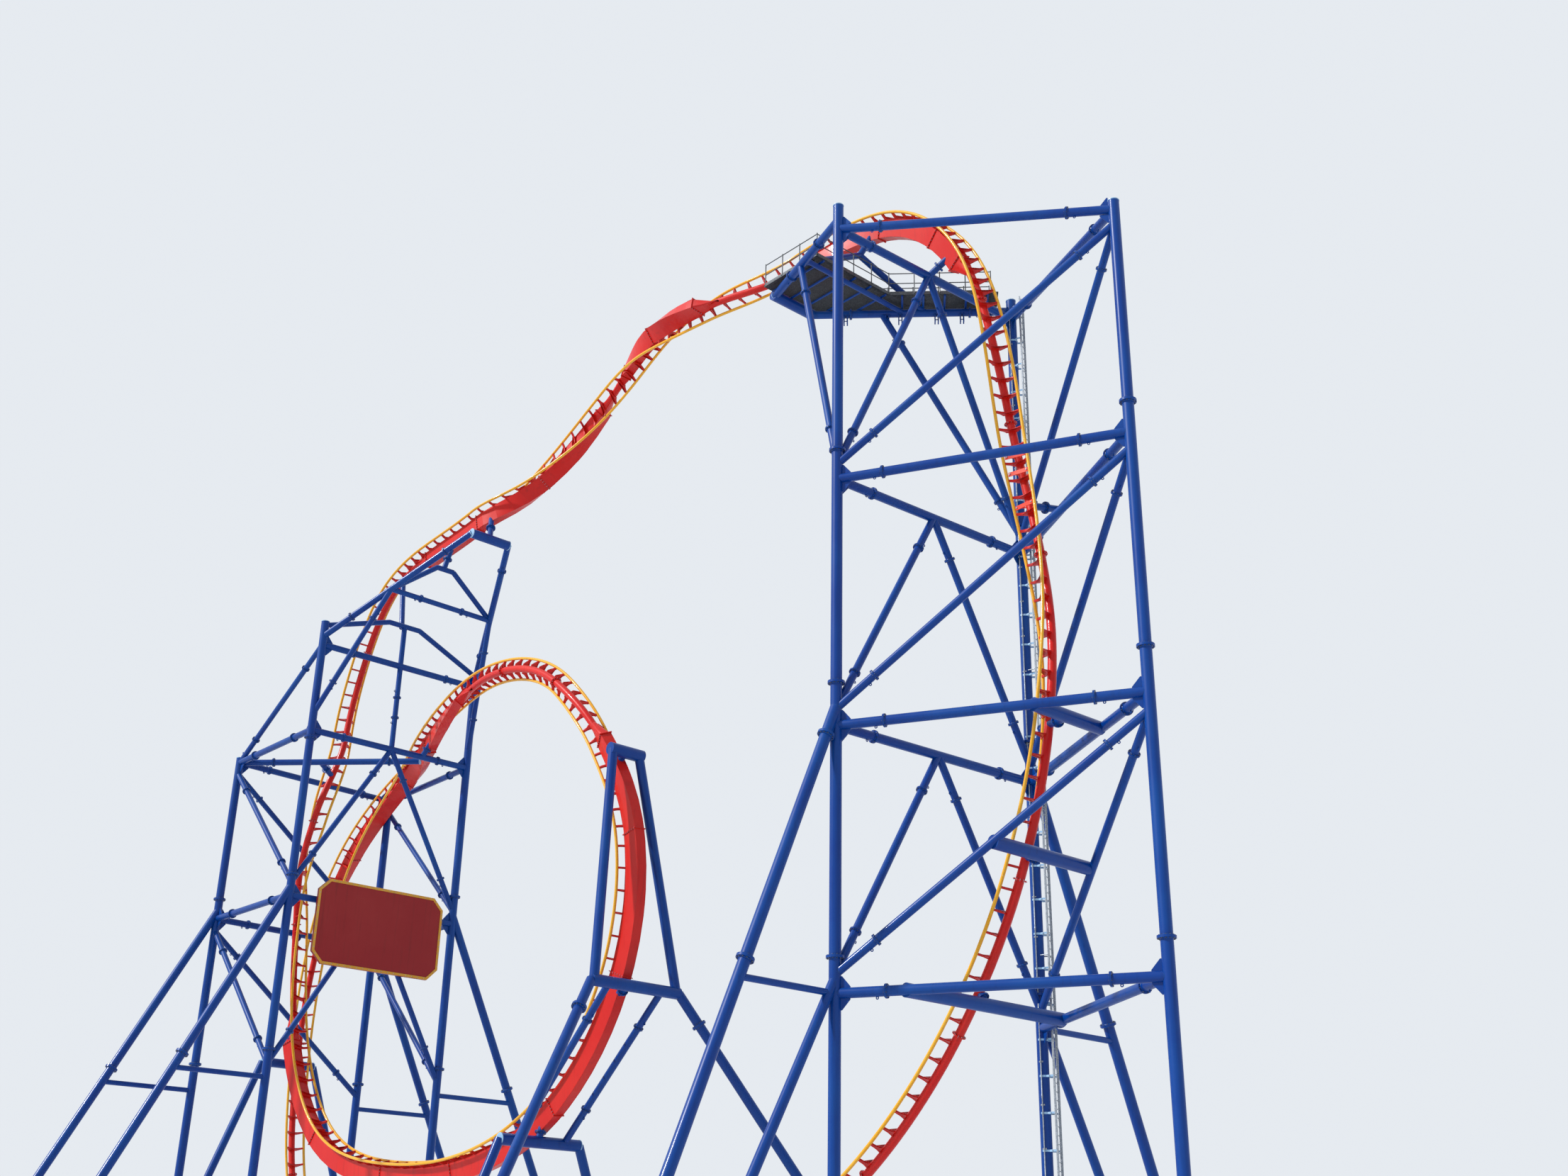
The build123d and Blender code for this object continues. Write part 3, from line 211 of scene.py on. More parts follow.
def weather_group():
    t = bpy.data.node_groups.new("weathered_paint", "ShaderNodeTree")
    add_socket(t, "Paint", "NodeSocketColor", "INPUT", (0.1, 0.2, 0.6, 1))
    add_socket(t, "Faded", "NodeSocketColor", "INPUT", (0.2, 0.3, 0.6, 1))
    add_socket(t, "Dirt", "NodeSocketColor", "INPUT", (0.05, 0.04, 0.03, 1))
    add_socket(t, "Fade Amount", "NodeSocketFloat", "INPUT", 0.5)
    add_socket(t, "Streaks", "NodeSocketFloat", "INPUT", 0.35)
    add_socket(t, "Gloss Low", "NodeSocketFloat", "INPUT", 0.18)
    add_socket(t, "Gloss High", "NodeSocketFloat", "INPUT", 0.42)
    add_socket(t, "Color", "NodeSocketColor", "OUTPUT")
    add_socket(t, "Roughness", "NodeSocketFloat", "OUTPUT")
    add_socket(t, "Height", "NodeSocketFloat", "OUTPUT")
    start, end = node(t, "NodeGroupInput", (-1400, 0)), node(t, "NodeGroupOutput", (700, 0))
    place = node(t, "ShaderNodeTexCoord", (-1400, -300))
    broad = noise(t, (-1100, 200), scale=3.2, detail=5.0, rough=0.6)
    stretch = node(t, "ShaderNodeMapping", (-1200, -200))
    stretch.inputs["Scale"].default_value = (70.0, 70.0, 3.5)
    streak = noise(t, (-1000, -200), scale=1.0, detail=3.0, rough=0.55)
    peel = noise(t, (-1000, -500), scale=420.0, detail=2.0, rough=0.5)
    fade_ramp = spread(t, (-850, 200), 0.38, 0.72)
    fade = node(t, "ShaderNodeMath", (-650, 200), operation="MULTIPLY")
    streak_ramp = spread(t, (-800, -200), 0.55, 0.8)
    dirt = node(t, "ShaderNodeMath", (-600, -200), operation="MULTIPLY")
    mix_fade = node(t, "ShaderNodeMix", (-350, 200), data_type="RGBA")
    mix_dirt = node(t, "ShaderNodeMix", (-100, 150), data_type="RGBA")
    gloss = spread(t, (-100, -250), 0.3, 0.75)
    wire(t, (place, "Object", broad, "Vector"), (place, "Object", peel, "Vector"),
         (place, "Object", stretch, "Vector"), (stretch, "Vector", streak, "Vector"))
    wire(t, (broad, 0, fade_ramp, 0), (fade_ramp, 0, fade, 0), (start, "Fade Amount", fade, 1),
         (fade, 0, mix_fade, 0), (start, "Paint", mix_fade, 6), (start, "Faded", mix_fade, 7))
    wire(t, (streak, 0, streak_ramp, 0), (streak_ramp, 0, dirt, 0), (start, "Streaks", dirt, 1),
         (dirt, 0, mix_dirt, 0), (mix_fade, 2, mix_dirt, 6), (start, "Dirt", mix_dirt, 7))
    wire(t, (broad, 0, gloss, 0), (start, "Gloss Low", gloss, 3), (start, "Gloss High", gloss, 4))
    wire(t, (mix_dirt, 2, end, "Color"), (gloss, 0, end, "Roughness"), (peel, 0, end, "Height"))
    return t


weathered = weather_group()
print("group", weathered.name, "sockets", len(weathered.interface.items_tree))

# %% [markdown]
# ## Edge wear
# Where paint covers a corner it is thin, so the corner dulls first. Geometry's Pointiness finds corners
# on a dense mesh, but these plates have few points. A Bevel node's softened normal differs from the real
# one only near an edge, and the group turns that difference into a mask, broken up by a gritty noise.

# %% The edge wear group


def edge_group():
    t = bpy.data.node_groups.new("edge_wear", "ShaderNodeTree")
    add_socket(t, "Width", "NodeSocketFloat", "INPUT", 0.002)
    add_socket(t, "Mask", "NodeSocketFloat", "OUTPUT")
    start, end = node(t, "NodeGroupInput", (-900, 0)), node(t, "NodeGroupOutput", (500, 0))
    bevel = node(t, "ShaderNodeBevel", (-650, 0), samples=4)
    geometry = node(t, "ShaderNodeNewGeometry", (-650, -250))
    dot = node(t, "ShaderNodeVectorMath", (-400, 0), operation="DOT_PRODUCT")
    ramp = spread(t, (-200, 0), 0.985, 0.90)
    place = node(t, "ShaderNodeTexCoord", (-650, -450))
    grit = noise(t, (-400, -400), scale=90.0, detail=4.0, rough=0.7)
    grit_ramp = spread(t, (-200, -350), 0.45, 0.62)
    both = node(t, "ShaderNodeMath", (100, 0), operation="MULTIPLY")
    wire(t, (start, "Width", bevel, "Radius"), (bevel, 0, dot, 0), (geometry, "Normal", dot, 1),
         (dot, "Value", ramp, 0), (place, "Object", grit, "Vector"), (grit, 0, grit_ramp, 0),
         (ramp, 0, both, 0), (grit_ramp, 0, both, 1), (both, 0, end, "Mask"))
    return t


edge_wear = edge_group()
print("group", edge_wear.name)

# %% [markdown]
# ## The painted materials
# Three paints cover almost everything: cobalt blue on the supports, vermilion on the spine and ties, and
# golden yellow on the running rails. Each has its own Principled BSDF, with a clear coat for the gloss
# that shows as a white line down each tube in sunlight. The rails are the smoothest, so they shine most.

# %% How a painted material is put together
FADE_AMOUNT = 0.5
PEEL_STRENGTH, PEEL_DEPTH = 0.12, 0.0004
COAT_ROUGHNESS, SPECULAR_LEVEL = 0.10, 0.22
SATIN = (0.34, 0.52)  # the range of roughness that most of the paints share


def new_material(name):
    material = bpy.data.materials.new(name)
    material.use_nodes = True
    tree = material.node_tree
    return material, tree, tree.nodes["Principled BSDF"]


def put_group(tree, group, at):
    made = tree.nodes.new("ShaderNodeGroup")
    made.node_tree = group
    made.location = at
    return made


def painted(name, clean, faded, dirt, streaks=0.3, gloss=SATIN, coat=0.15, worn=None):
    """A painted steel: clean, faded and dirty colours, streaks, range of roughness, coat and worn edge."""
    material, tree, surface = new_material(name)
    weather = put_group(tree, weathered, (-700, 100))
    for key, value in (("Paint", clean), ("Faded", faded), ("Dirt", dirt)):
        weather.inputs[key].default_value = (*value, 1)
    weather.inputs["Fade Amount"].default_value = FADE_AMOUNT
    weather.inputs["Streaks"].default_value = streaks
    weather.inputs["Gloss Low"].default_value, weather.inputs["Gloss High"].default_value = gloss
    bump = node(tree, "ShaderNodeBump", (-300, -300))
    bump.inputs["Strength"].default_value = PEEL_STRENGTH
    bump.inputs["Distance"].default_value = PEEL_DEPTH
    wire(tree, (weather, "Height", bump, "Height"), (bump, 0, surface, "Normal"),
         (weather, "Roughness", surface, "Roughness"))
    surface.inputs["Coat Weight"].default_value = coat
    surface.inputs["Coat Roughness"].default_value = COAT_ROUGHNESS
    surface.inputs["Specular IOR Level"].default_value = SPECULAR_LEVEL
    if worn is None:
        wire(tree, (weather, "Color", surface, "Base Color"))
        return material
    edge = put_group(tree, edge_wear, (-700, -400))
    mix = node(tree, "ShaderNodeMix", (-300, 150), data_type="RGBA")
    mix.inputs[7].default_value = (*worn, 1)
    wire(tree, (edge, "Mask", mix, 0), (weather, "Color", mix, 6), (mix, 2, surface, "Base Color"))
    return material


print("a paint takes", painted.__doc__)

# %% Make the paints
blue_paint = painted("support_blue", (0.0004, 0.040, 0.245), (0.002, 0.085, 0.33), (0.002, 0.015, 0.07),
                     gloss=(0.30, 0.48), coat=0.12, worn=(0.015, 0.09, 0.22))
red_paint = painted("track_red", (0.62, 0.007, 0.005), (0.72, 0.035, 0.018), (0.13, 0.010, 0.008),
                    worn=(0.34, 0.04, 0.025))
yellow_paint = painted("rail_yellow", (0.86, 0.40, 0.012), (0.90, 0.55, 0.08), (0.34, 0.13, 0.03),
                       streaks=0.22, gloss=(0.24, 0.42), coat=0.25)
board_paint = painted("board_red", (0.30, 0.010, 0.012), (0.38, 0.035, 0.03), (0.07, 0.008, 0.008),
                      streaks=0.40, worn=(0.5, 0.3, 0.08))
trim_paint = painted("board_trim", (0.70, 0.34, 0.03), (0.74, 0.44, 0.10), (0.25, 0.12, 0.03))
signal_paint = painted("signal_red", (0.82, 0.045, 0.018), (0.88, 0.11, 0.05), (0.30, 0.03, 0.02),
                       streaks=0.2)
pale_paint = painted("cap_blue", (0.30, 0.50, 0.70), (0.42, 0.58, 0.74), (0.08, 0.12, 0.18))
paints = (blue_paint, red_paint, yellow_paint, board_paint, trim_paint, signal_paint, pale_paint)
print("paints", [paint.name for paint in paints])

# %% [markdown]
# ## Bare metals
# Bolts, ladder and grating are galvanised: a zinc coat whose crystals show as soft grey patches, each
# with a slightly different shine. Noise would blur them, so a Voronoi texture gives each crystal one value.
# The ladder's zinc is bright. The second zinc is painted near black as painted shade, for the platform seen
# from below against the light.

# %% Make the galvanised finish


def spangle_group():
    t = bpy.data.node_groups.new("zinc_spangle", "ShaderNodeTree")
    add_socket(t, "Size", "NodeSocketFloat", "INPUT", 400.0)
    add_socket(t, "Light", "NodeSocketColor", "INPUT", (0.62, 0.64, 0.66, 1))
    add_socket(t, "Dark", "NodeSocketColor", "INPUT", (0.36, 0.38, 0.40, 1))
    add_socket(t, "Color", "NodeSocketColor", "OUTPUT")
    add_socket(t, "Roughness", "NodeSocketFloat", "OUTPUT")
    start, end = node(t, "NodeGroupInput", (-900, 0)), node(t, "NodeGroupOutput", (400, 0))
    place = node(t, "ShaderNodeTexCoord", (-900, -200))
    cells = node(t, "ShaderNodeTexVoronoi", (-650, 0))
    grey = node(t, "ShaderNodeSeparateColor", (-450, 0))
    mix = node(t, "ShaderNodeMix", (-200, 100), data_type="RGBA")
    rough = node(t, "ShaderNodeMapRange", (-200, -200), in_3=0.34, in_4=0.6)
    wire(t, (place, "Object", cells, "Vector"), (start, "Size", cells, "Scale"), (cells, "Color", grey, 0),
         (grey, 0, mix, 0), (start, "Dark", mix, 6), (start, "Light", mix, 7), (grey, 1, rough, 0),
         (mix, 2, end, "Color"), (rough, 0, end, "Roughness"))
    return t


spangle = spangle_group()


def galvanised(name, light, dark, size, metallic):
    material, tree, surface = new_material(name)
    zinc = put_group(tree, spangle, (-500, 0))
    zinc.inputs["Size"].default_value = size
    zinc.inputs["Light"].default_value = (*light, 1)
    zinc.inputs["Dark"].default_value = (*dark, 1)
    surface.inputs["Metallic"].default_value = metallic
    wire(tree, (zinc, "Color", surface, "Base Color"), (zinc, "Roughness", surface, "Roughness"))
    return material


zinc_steel = galvanised("zinc_steel", (0.42, 0.46, 0.50), (0.25, 0.28, 0.31), size=300.0, metallic=0.5)
# Painted shade: this zinc is darkened to stand for the shade under the platform, not for age.
painted_shade_zinc = galvanised("painted_shade_zinc", (0.11, 0.12, 0.13), (0.055, 0.060, 0.065), size=260.0, metallic=0.4)
print("metals", zinc_steel.name, painted_shade_zinc.name)

# %% [markdown]
# ## Paint the packed parts
# The tubes and rails keep the shapes of the packed model, and their slots take the finishes above. A
# small bevel, as a modifier, rounds the plates' corners as a grinder does, and catches a line of light.

# %% Give every node its finish
SHARP_EDGE = math.radians(50)


def finish_for(name):
    if name.endswith("_rails"):
        return yellow_paint
    if name.endswith(("_spine", "_ties")):
        return red_paint
    if name == "column_ladder":
        return zinc_steel
    # The deck and handrail take the zinc darkened as painted shade.
    if name in ("platform_deck", "platform_handrail"):
        return painted_shade_zinc
    return board_paint if name == "sign_board" else blue_paint


def soften_edges(piece, width, segments):
    """A bevel, as a modifier, along the edges that turn by more than SHARP_EDGE."""
    soften = piece.modifiers.new("soft_edges", "BEVEL")
    soften.width, soften.segments, soften.limit_method = width, segments, "ANGLE"
    soften.angle_limit = SHARP_EDGE


for name, part in nodes.items():
    part.data.materials.clear()
    part.data.materials.append(finish_for(name))
    if name.endswith("_spine") or name == "sign_board":
        soften_edges(part, 0.7 * MM, 2)
print("painted", len(nodes))

# %% [markdown]
# ## The tools for added pieces
# Every added piece is mesh code. Four shapes make most of them: a hexagon bolt head, a turned ring (a
# profile spun round an axis, as on a lathe), a plate cut from an outline, and a straight bar between two
# points. Each one is placed by a matrix whose Z runs along the tube or the bolt it belongs to.

# %% Places, profiles and rings
UP = Vector((0, 0, 1))


def in_mm(points):
    """An outline or profile written in millimetres, turned into the scene's metres."""
    return [(a * MM, b * MM) for a, b in points]


def about(radius, points):
    """A turned profile, in millimetres out from a tube's surface and along its axis."""
    return [(radius + out * MM, along * MM) for out, along in points]


def bridge(mesh, low, high):
    """The faces between two rings that have the same number of points."""
    for k in range(len(low)):
        n = (k + 1) % len(low)
        mesh.faces.new((low[k], low[n], high[n], high[k]))


def frame_matrix(point, way, side=None):
    """A placing matrix whose Z runs along way, and whose X leans to side."""
    z = way.normalized()
    x = (side - z * side.dot(z)).normalized() if side is not None else z.orthogonal().normalized()
    return Matrix.Translation(point) @ Matrix((x, z.cross(x), z)).transposed().to_4x4()


print("a profile on a 20 mm tube", about(20 * MM, ((0, 0), (1, 2))))

# %% Bolt, ring, plate and bar


def hex_head(mesh, place, across, height):
    """A hexagon bolt head with a chamfered crown, standing on the place's XY plane."""
    turn = [math.radians(60 * k) for k in range(6)]
    rings = [[mesh.verts.new(place @ Vector((r * math.cos(a), r * math.sin(a), z))) for a in turn]
             for z, r in ((0.0, across / 2), (height * 0.75, across / 2), (height, across / 2 * 0.78))]
    for low, high in zip(rings, rings[1:]):
        bridge(mesh, low, high)
    mesh.faces.new(rings[-1])


def turned(mesh, place, profile, steps=24, closed=False):
    """A profile of (radius, height) spun round the place's Z; a closed one makes a hollow ring."""
    turn = [2 * math.pi * k / steps for k in range(steps)]
    rings = [[mesh.verts.new(place @ Vector((r * math.cos(a), r * math.sin(a), z))) for a in turn]
             for r, z in profile]
    pairs = list(zip(rings, rings[1:])) + ([(rings[-1], rings[0])] if closed else [])
    for low, high in pairs:
        bridge(mesh, low, high)
    if not closed:
        mesh.faces.new(rings[0][::-1])
        mesh.faces.new(rings[-1])


def plate(mesh, place, outline, thickness):
    """A flat plate of any outline, lying across the place's Z, half its thickness to each side."""
    low, high = [[mesh.verts.new(place @ Vector((x, y, z))) for x, y in outline]
                 for z in (-thickness / 2, thickness / 2)]
    bridge(mesh, low, high)
    for ring in (low[::-1], high):
        face = mesh.faces.new(ring)
        if len(outline) > 5:
            bmesh.ops.triangulate(mesh, faces=[face])


def rod(mesh, start, end, radius, steps=8):
    """A straight round bar with slightly crowned ends."""
    length = (end - start).length
    crown, slim = radius * 0.3, radius * 0.7
    profile = [(slim, 0.0), (radius, crown), (radius, length - crown), (slim, length)]
    turned(mesh, frame_matrix(start, end - start), profile, steps)


def flat_bar(mesh, start, end, width, depth, up):
    """A straight flat bar, this wide across and this deep along up."""
    place = frame_matrix((start + end) / 2, end - start, up)
    plate(mesh, place, [(-depth / 2, -width / 2), (depth / 2, -width / 2), (depth / 2, width / 2),
                        (-depth / 2, width / 2)], (end - start).length)


sample = bmesh.new()
hex_head(sample, Matrix.Identity(4), 4 * MM, 2 * MM)
print("faces in a bolt head", len(sample.faces))
sample.free()

# %% From mesh code to a piece


def add_piece(name, mesh, material, slot, smooth=None, bevel=None):
    """The finished piece: smooth is the angle under which edges shade round, bevel a corner's width."""
    bmesh.ops.recalc_face_normals(mesh, faces=mesh.faces)
    data = bpy.data.meshes.new(name)
    mesh.to_mesh(data)
    mesh.free()
    data.materials.append(material)
    piece = bpy.data.objects.new(name, data)
    bpy.context.scene.collection.objects.link(piece)
    if smooth is not None:
        data.shade_smooth()
        data.set_sharp_from_angle(angle=math.radians(smooth))
    if bevel is not None:
        soften_edges(piece, bevel, 1)
    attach(piece, "root")
    data.calc_loop_triangles()
    print(name, "triangles", len(data.loop_triangles))
    return piece


def bolt_circle(mesh, middle, way, radius, count, head, face):
    """Heads (their width and height) on both faces of a disc whose half thickness is face."""
    for side in (-1, 1):
        base = frame_matrix(middle + way * (side * face), way * side)
        for k in range(count):
            turn = Matrix.Rotation(math.radians(360 * (k + 0.5) / count), 4, "Z")
            hex_head(mesh, base @ turn @ Matrix.Translation((radius, 0, 0)), *head)


print("tools", [tool.__name__ for tool in (hex_head, turned, plate, rod, flat_bar, add_piece, bolt_circle)])

# %% [markdown]
# ## Ring flanges on the columns
# Columns and legs come in lengths short enough to carry, joined by ring flanges with a circle of bolts.
# The packed flange is a plain disc, and it stays. Above and below it the real tube has a weld fillet, so
# a small turned cone goes there, and a dozen bolt heads go on each face.

# %% Bolts and fillets on columns and legs
FLANGE_THIN, FLANGE_THICK, FLANGE_WIDEST = 0.007, 0.012, 0.035
FLANGE_LIP, FLANGE_BOLT_IN = 10 * MM, 4.8 * MM
FLANGE_BOLT, FLANGE_BOLTS = (4.6 * MM, 2.6 * MM), 12
FILLET = ((-1, 0), (2.2, 0), (0.9, 1.0), (0.1, 3.2), (-1, 3.2))
flange_bolts, fillets, flanges = bmesh.new(), bmesh.new(), 0
for name, start, end, radius in tubes:
    thick = (end - start).length
    if (not name.endswith(("_column", "_legs")) or not FLANGE_THIN < thick < FLANGE_THICK
            or radius > FLANGE_WIDEST):
        continue
    middle, way = (start + end) / 2, (end - start).normalized()
    bolt_circle(flange_bolts, middle, way, radius - FLANGE_BOLT_IN, FLANGE_BOLTS, FLANGE_BOLT, thick / 2)
    for side in (-1, 1):
        foot = frame_matrix(middle + way * (side * thick / 2), way * side)
        turned(fillets, foot, about(radius - FLANGE_LIP, FILLET), 28, closed=True)
    flanges += 1
# The bolts take the zinc darkened as painted shade.
add_piece("flange_bolts", flange_bolts, painted_shade_zinc, "galvanised_steel")
print("ring flanges bolted", flanges)

# %% [markdown]
# ## Ring flanges on beams and braces
# Each beam and brace bolts to a stub that was welded to its column in the shop. From the ground this shows
# as a pair of rings a little way from each joint, and it is one of the marks of this kind of tower. The
# rings are turned in one profile: two discs with a fine groove between them.

# %% Ring pairs near both ends of each brace
RING_REACH, LONG_BRACE = 150 * MM, 420 * MM
BRACE_THIN, BRACE_THICK = 0.013, 0.020
BRACE_LIP, CLAMP_LIP, RING_HALF = 7.0, 10.0, 3.4  # in millimetres
RING_BOLT, RING_BOLTS, RING_BOLT_SHARE = (3.8 * MM, 2.2 * MM), 8, 0.6
ring_pairs, ring_bolts = bmesh.new(), bmesh.new()
braces = [t for t in tubes if not t[0].endswith(("_column", "_legs", "_ladder", "_stands"))
          and (t[2] - t[1]).length >= LONG_BRACE and BRACE_THIN < t[3] < BRACE_THICK]


def ring_pair(middle, way, radius, lip):
    """Two bolted discs round a tube, lip mm past it, with a groove between and a fillet on each side."""
    lower = about(radius, ((-0.8, -RING_HALF - 2.0), (0.3, -RING_HALF - 2.0), (1.6, -RING_HALF),
                           (lip, -RING_HALF), (lip, -0.4), (lip - 0.7, -0.2)))
    upper = [(out, -along) for out, along in lower[::-1]]
    turned(ring_pairs, frame_matrix(middle, way), lower + upper, 24, closed=True)
    at = radius + lip * MM * RING_BOLT_SHARE
    bolt_circle(ring_bolts, middle, way, at, RING_BOLTS, RING_BOLT, RING_HALF * MM)


for _, start, end, radius in braces:
    way = (end - start).normalized()
    for middle in (start + way * (RING_REACH + radius), end - way * (RING_REACH + radius)):
        ring_pair(middle, way, radius, BRACE_LIP)
print("ring pairs", 2 * len(braces))

# %% [markdown]
# ## Clamps between tubes and spine
# The track sits on short brackets. Half way along each one are two thick round plates, bolted through,
# so that the track can be shimmed to its line. They are wider than a brace's rings.

# %% Disc clamps on the brackets
BRACKET_RADIUS, BRACKET_SHORT, BRACKET_LONG = 0.014, 0.012, 0.25
clamps = 0
for name, start, end, radius in tubes:
    if (abs(radius - BRACKET_RADIUS) > 0.3 * MM or name.endswith(("_column", "_legs"))
            or not BRACKET_SHORT < (end - start).length < BRACKET_LONG):
        continue
    ring_pair((start + end) / 2, (end - start).normalized(), radius, CLAMP_LIP)
    clamps += 1
add_piece("brace_rings", ring_pairs, blue_paint, "support_paint", smooth=35)
# These bolts take the zinc darkened as painted shade as well.
add_piece("brace_ring_bolts", ring_bolts, painted_shade_zinc, "galvanised_steel")
add_piece("flange_fillets", fillets, blue_paint, "support_paint", smooth=40)
print("bracket clamps", clamps)

# %% [markdown]
# ## Joint plates between column and beam
# Where a beam meets a column, a gusset above and below it keeps the corner square. It is cut from plate
# with its two sharp tips clipped, as a real one is, because a thin tip would burn away in the weld.

# %% Gussets at the beam ends
GUSSET, GUSSET_THICK = ((0, -1.5), (34, -1.5), (34, 4), (5, 38), (0, 38)), 3.4 * MM
BEAM_LEAN, BEAM_LONG, BEAM_THIN = 0.25, 0.3, 0.0155
gussets, count = bmesh.new(), 0
columns = [t for t in tubes if t[0].endswith("_column") and (t[2] - t[1]).length > 0.1]


def column_at(point):
    """Radius of the column whose axis passes closest to this point, and the axis's point at its height."""
    best = min(columns, key=lambda t: math.hypot(point.x - t[1].x, point.y - t[1].y))
    return best[3], Vector((best[1].x, best[1].y, point.z))


for name, start, end, radius in tubes:
    way = (end - start).normalized()
    if (not name.endswith("_bracing") or abs(way.z) > BEAM_LEAN or (end - start).length < BEAM_LONG
            or radius < BEAM_THIN):
        continue
    for point, out in ((start, way), (end, -way)):
        column, axis = column_at(point)
        if (point - axis).length > column + 8 * MM:
            continue
        flat_way = Vector((out.x, out.y, 0)).normalized()
        for side in (-1, 1):
            origin = axis + flat_way * (column - 0.6 * MM) + UP * (side * radius)
            place = frame_matrix(origin, flat_way.cross(UP * side), flat_way)
            plate(gussets, place, in_mm(GUSSET), GUSSET_THICK)
            count += 1
add_piece("column_gussets", gussets, blue_paint, "support_paint", bevel=0.4 * MM)
print("gussets", count)

# %% [markdown]
# ## Lifting eyes and end caps
# Every brace was hung from a crane by an eye welded near its end, and the eye stays on. Open tube ends
# are closed by a cap, so that no rain stands in them. Both are turned shapes: the eye is a thick washer
# set on edge, and the cap is a shallow dome with a rim.

# %% Eyes on the braces, caps on the free ends
EYE_REACH, EYE_LIFT = RING_REACH - 32 * MM, 3.4 * MM
EYE = ((2.4, -1.1), (5.2, -1.1), (5.8, 0.0), (5.2, 1.1), (2.4, 1.1))
CAP_RIM = ((-1.0, -2.4), (1.1, -2.2), (1.1, 1.0))
CAP_LOWEST, FREE_END = 0.6, 1.05
eyes, caps, capped = bmesh.new(), bmesh.new(), 0
for _, start, end, radius in braces:
    way = (end - start).normalized()
    drop = (-UP - way * (-UP).dot(way)).normalized()
    for at in (start + way * (EYE_REACH + radius), end - way * (EYE_REACH + radius)):
        centre = at + drop * (radius + EYE_LIFT)
        turned(eyes, frame_matrix(centre, way.cross(drop)), in_mm(EYE), 16, closed=True)


def closeness(point, own):
    """How near the point is to another tube's axis, in that tube's radii: below 1 it is inside."""
    best = math.inf
    for _, start, end, radius in tubes:
        if (start - own).length < 1e-6 or (end - own).length < 1e-6:
            continue
        run = end - start
        share = max(0.0, min(1.0, (point - start).dot(run) / run.length_squared))
        best = min(best, (point - start - run * share).length / radius)
    return best


for name, start, end, radius in tubes:
    if radius < BEAM_THIN or (end - start).length < 0.1 or name.endswith(("_stands", "_legs")):
        continue
    for point, way in ((start, (start - end).normalized()), (end, (end - start).normalized())):
        if point.z > CAP_LOWEST and closeness(point + way * 3 * MM, point) > FREE_END:
            dome = [(radius * 0.8, 2.6 * MM), (radius * 0.4, 3.4 * MM), (0.4 * MM, 3.6 * MM)]
            turned(caps, frame_matrix(point, way), about(radius, CAP_RIM) + dome, 28)
            capped += 1
add_piece("lifting_eyes", eyes, blue_paint, "support_paint", smooth=40)
add_piece("tube_caps", caps, pale_paint, "support_paint", smooth=40)
print("caps", capped)

# %% [markdown]
# ## Feet
# A column stands on a round base plate, held by anchor bolts in the footing, with triangular fins to
# spread its load. The bolts are long studs with a nut and some thread to spare, not just heads.

# %% Anchor bolts and foot fins
BASE_TOP, BASE_LEAST = 0.0075, 0.04  # a base plate's top is this low at most, its radius this large at least
LEG_THICK, LEG_LOW, LEG_NEAR = 0.03, 0.02, 0.03
ANCHOR_COUNT, ANCHOR_IN, ANCHOR_NUT = 8, 7 * MM, (6 * MM, 3.4 * MM)
ANCHOR_STEP = 360 / ANCHOR_COUNT
ANCHOR_STUD = ((1.6, 3.0), (1.6, 6.2), (1.1, 6.8))
FIN_TALL, FIN_TIP, FIN_THICK = 30 * MM, 3 * MM, 2.6 * MM
anchors, fins, feet = bmesh.new(), bmesh.new(), 0


def standing_on(centre):
    """The tubes whose lower end is close over this place on the ground."""
    found = []
    for tube in tubes:
        low_end = low_first(tube[1], tube[2])[0]
        if tube[3] < LEG_THICK and low_end.z < LEG_LOW and (low_end - centre).xy.length < LEG_NEAR:
            found.append(tube)
    return found


for name, start, end, radius in tubes:
    top = max(start.z, end.z)
    if top > BASE_TOP or radius < BASE_LEAST:
        continue
    centre = Vector((start.x, start.y, 0))
    above = standing_on(centre)
    inner, reach = above[0][3] if above else 12 * MM, radius - FIN_TIP
    base = frame_matrix(centre + UP * top, UP)
    fin_outline = [(inner * 0.9, 0), (reach, 0), (reach, FIN_TIP), (inner + 4 * MM, FIN_TALL),
                   (inner * 0.9, FIN_TALL)]
    for k in range(ANCHOR_COUNT):
        turn = base @ Matrix.Rotation(math.radians(ANCHOR_STEP * (k + 0.5)), 4, "Z")
        stud = turn @ Matrix.Translation((radius - ANCHOR_IN, 0, 0))
        hex_head(anchors, stud, *ANCHOR_NUT)
        turned(anchors, stud, in_mm(ANCHOR_STUD), 8)
        upright = Matrix.Rotation(math.radians(90), 4, "X")
        fin = base @ Matrix.Rotation(math.radians(ANCHOR_STEP * k), 4, "Z") @ upright
        plate(fins, fin, fin_outline, FIN_THICK)
    feet += 1
add_piece("anchor_bolts", anchors, zinc_steel, "galvanised_steel")
add_piece("foot_fins", fins, blue_paint, "support_paint", bevel=0.3 * MM)
print("feet", feet)

# %% [markdown]
# ## Ties
# The packed tie is a plate with straight edges. The real one is a T: a web whose upper edge hangs between
# the rails in a curve, fits the rails at its tips and hugs the spine below, with a narrow strip welded
# along the top. Both outlines are drawn once, for a round and for a box spine, and copied to each tie's
# own place, which the first helper read from the packed solids.

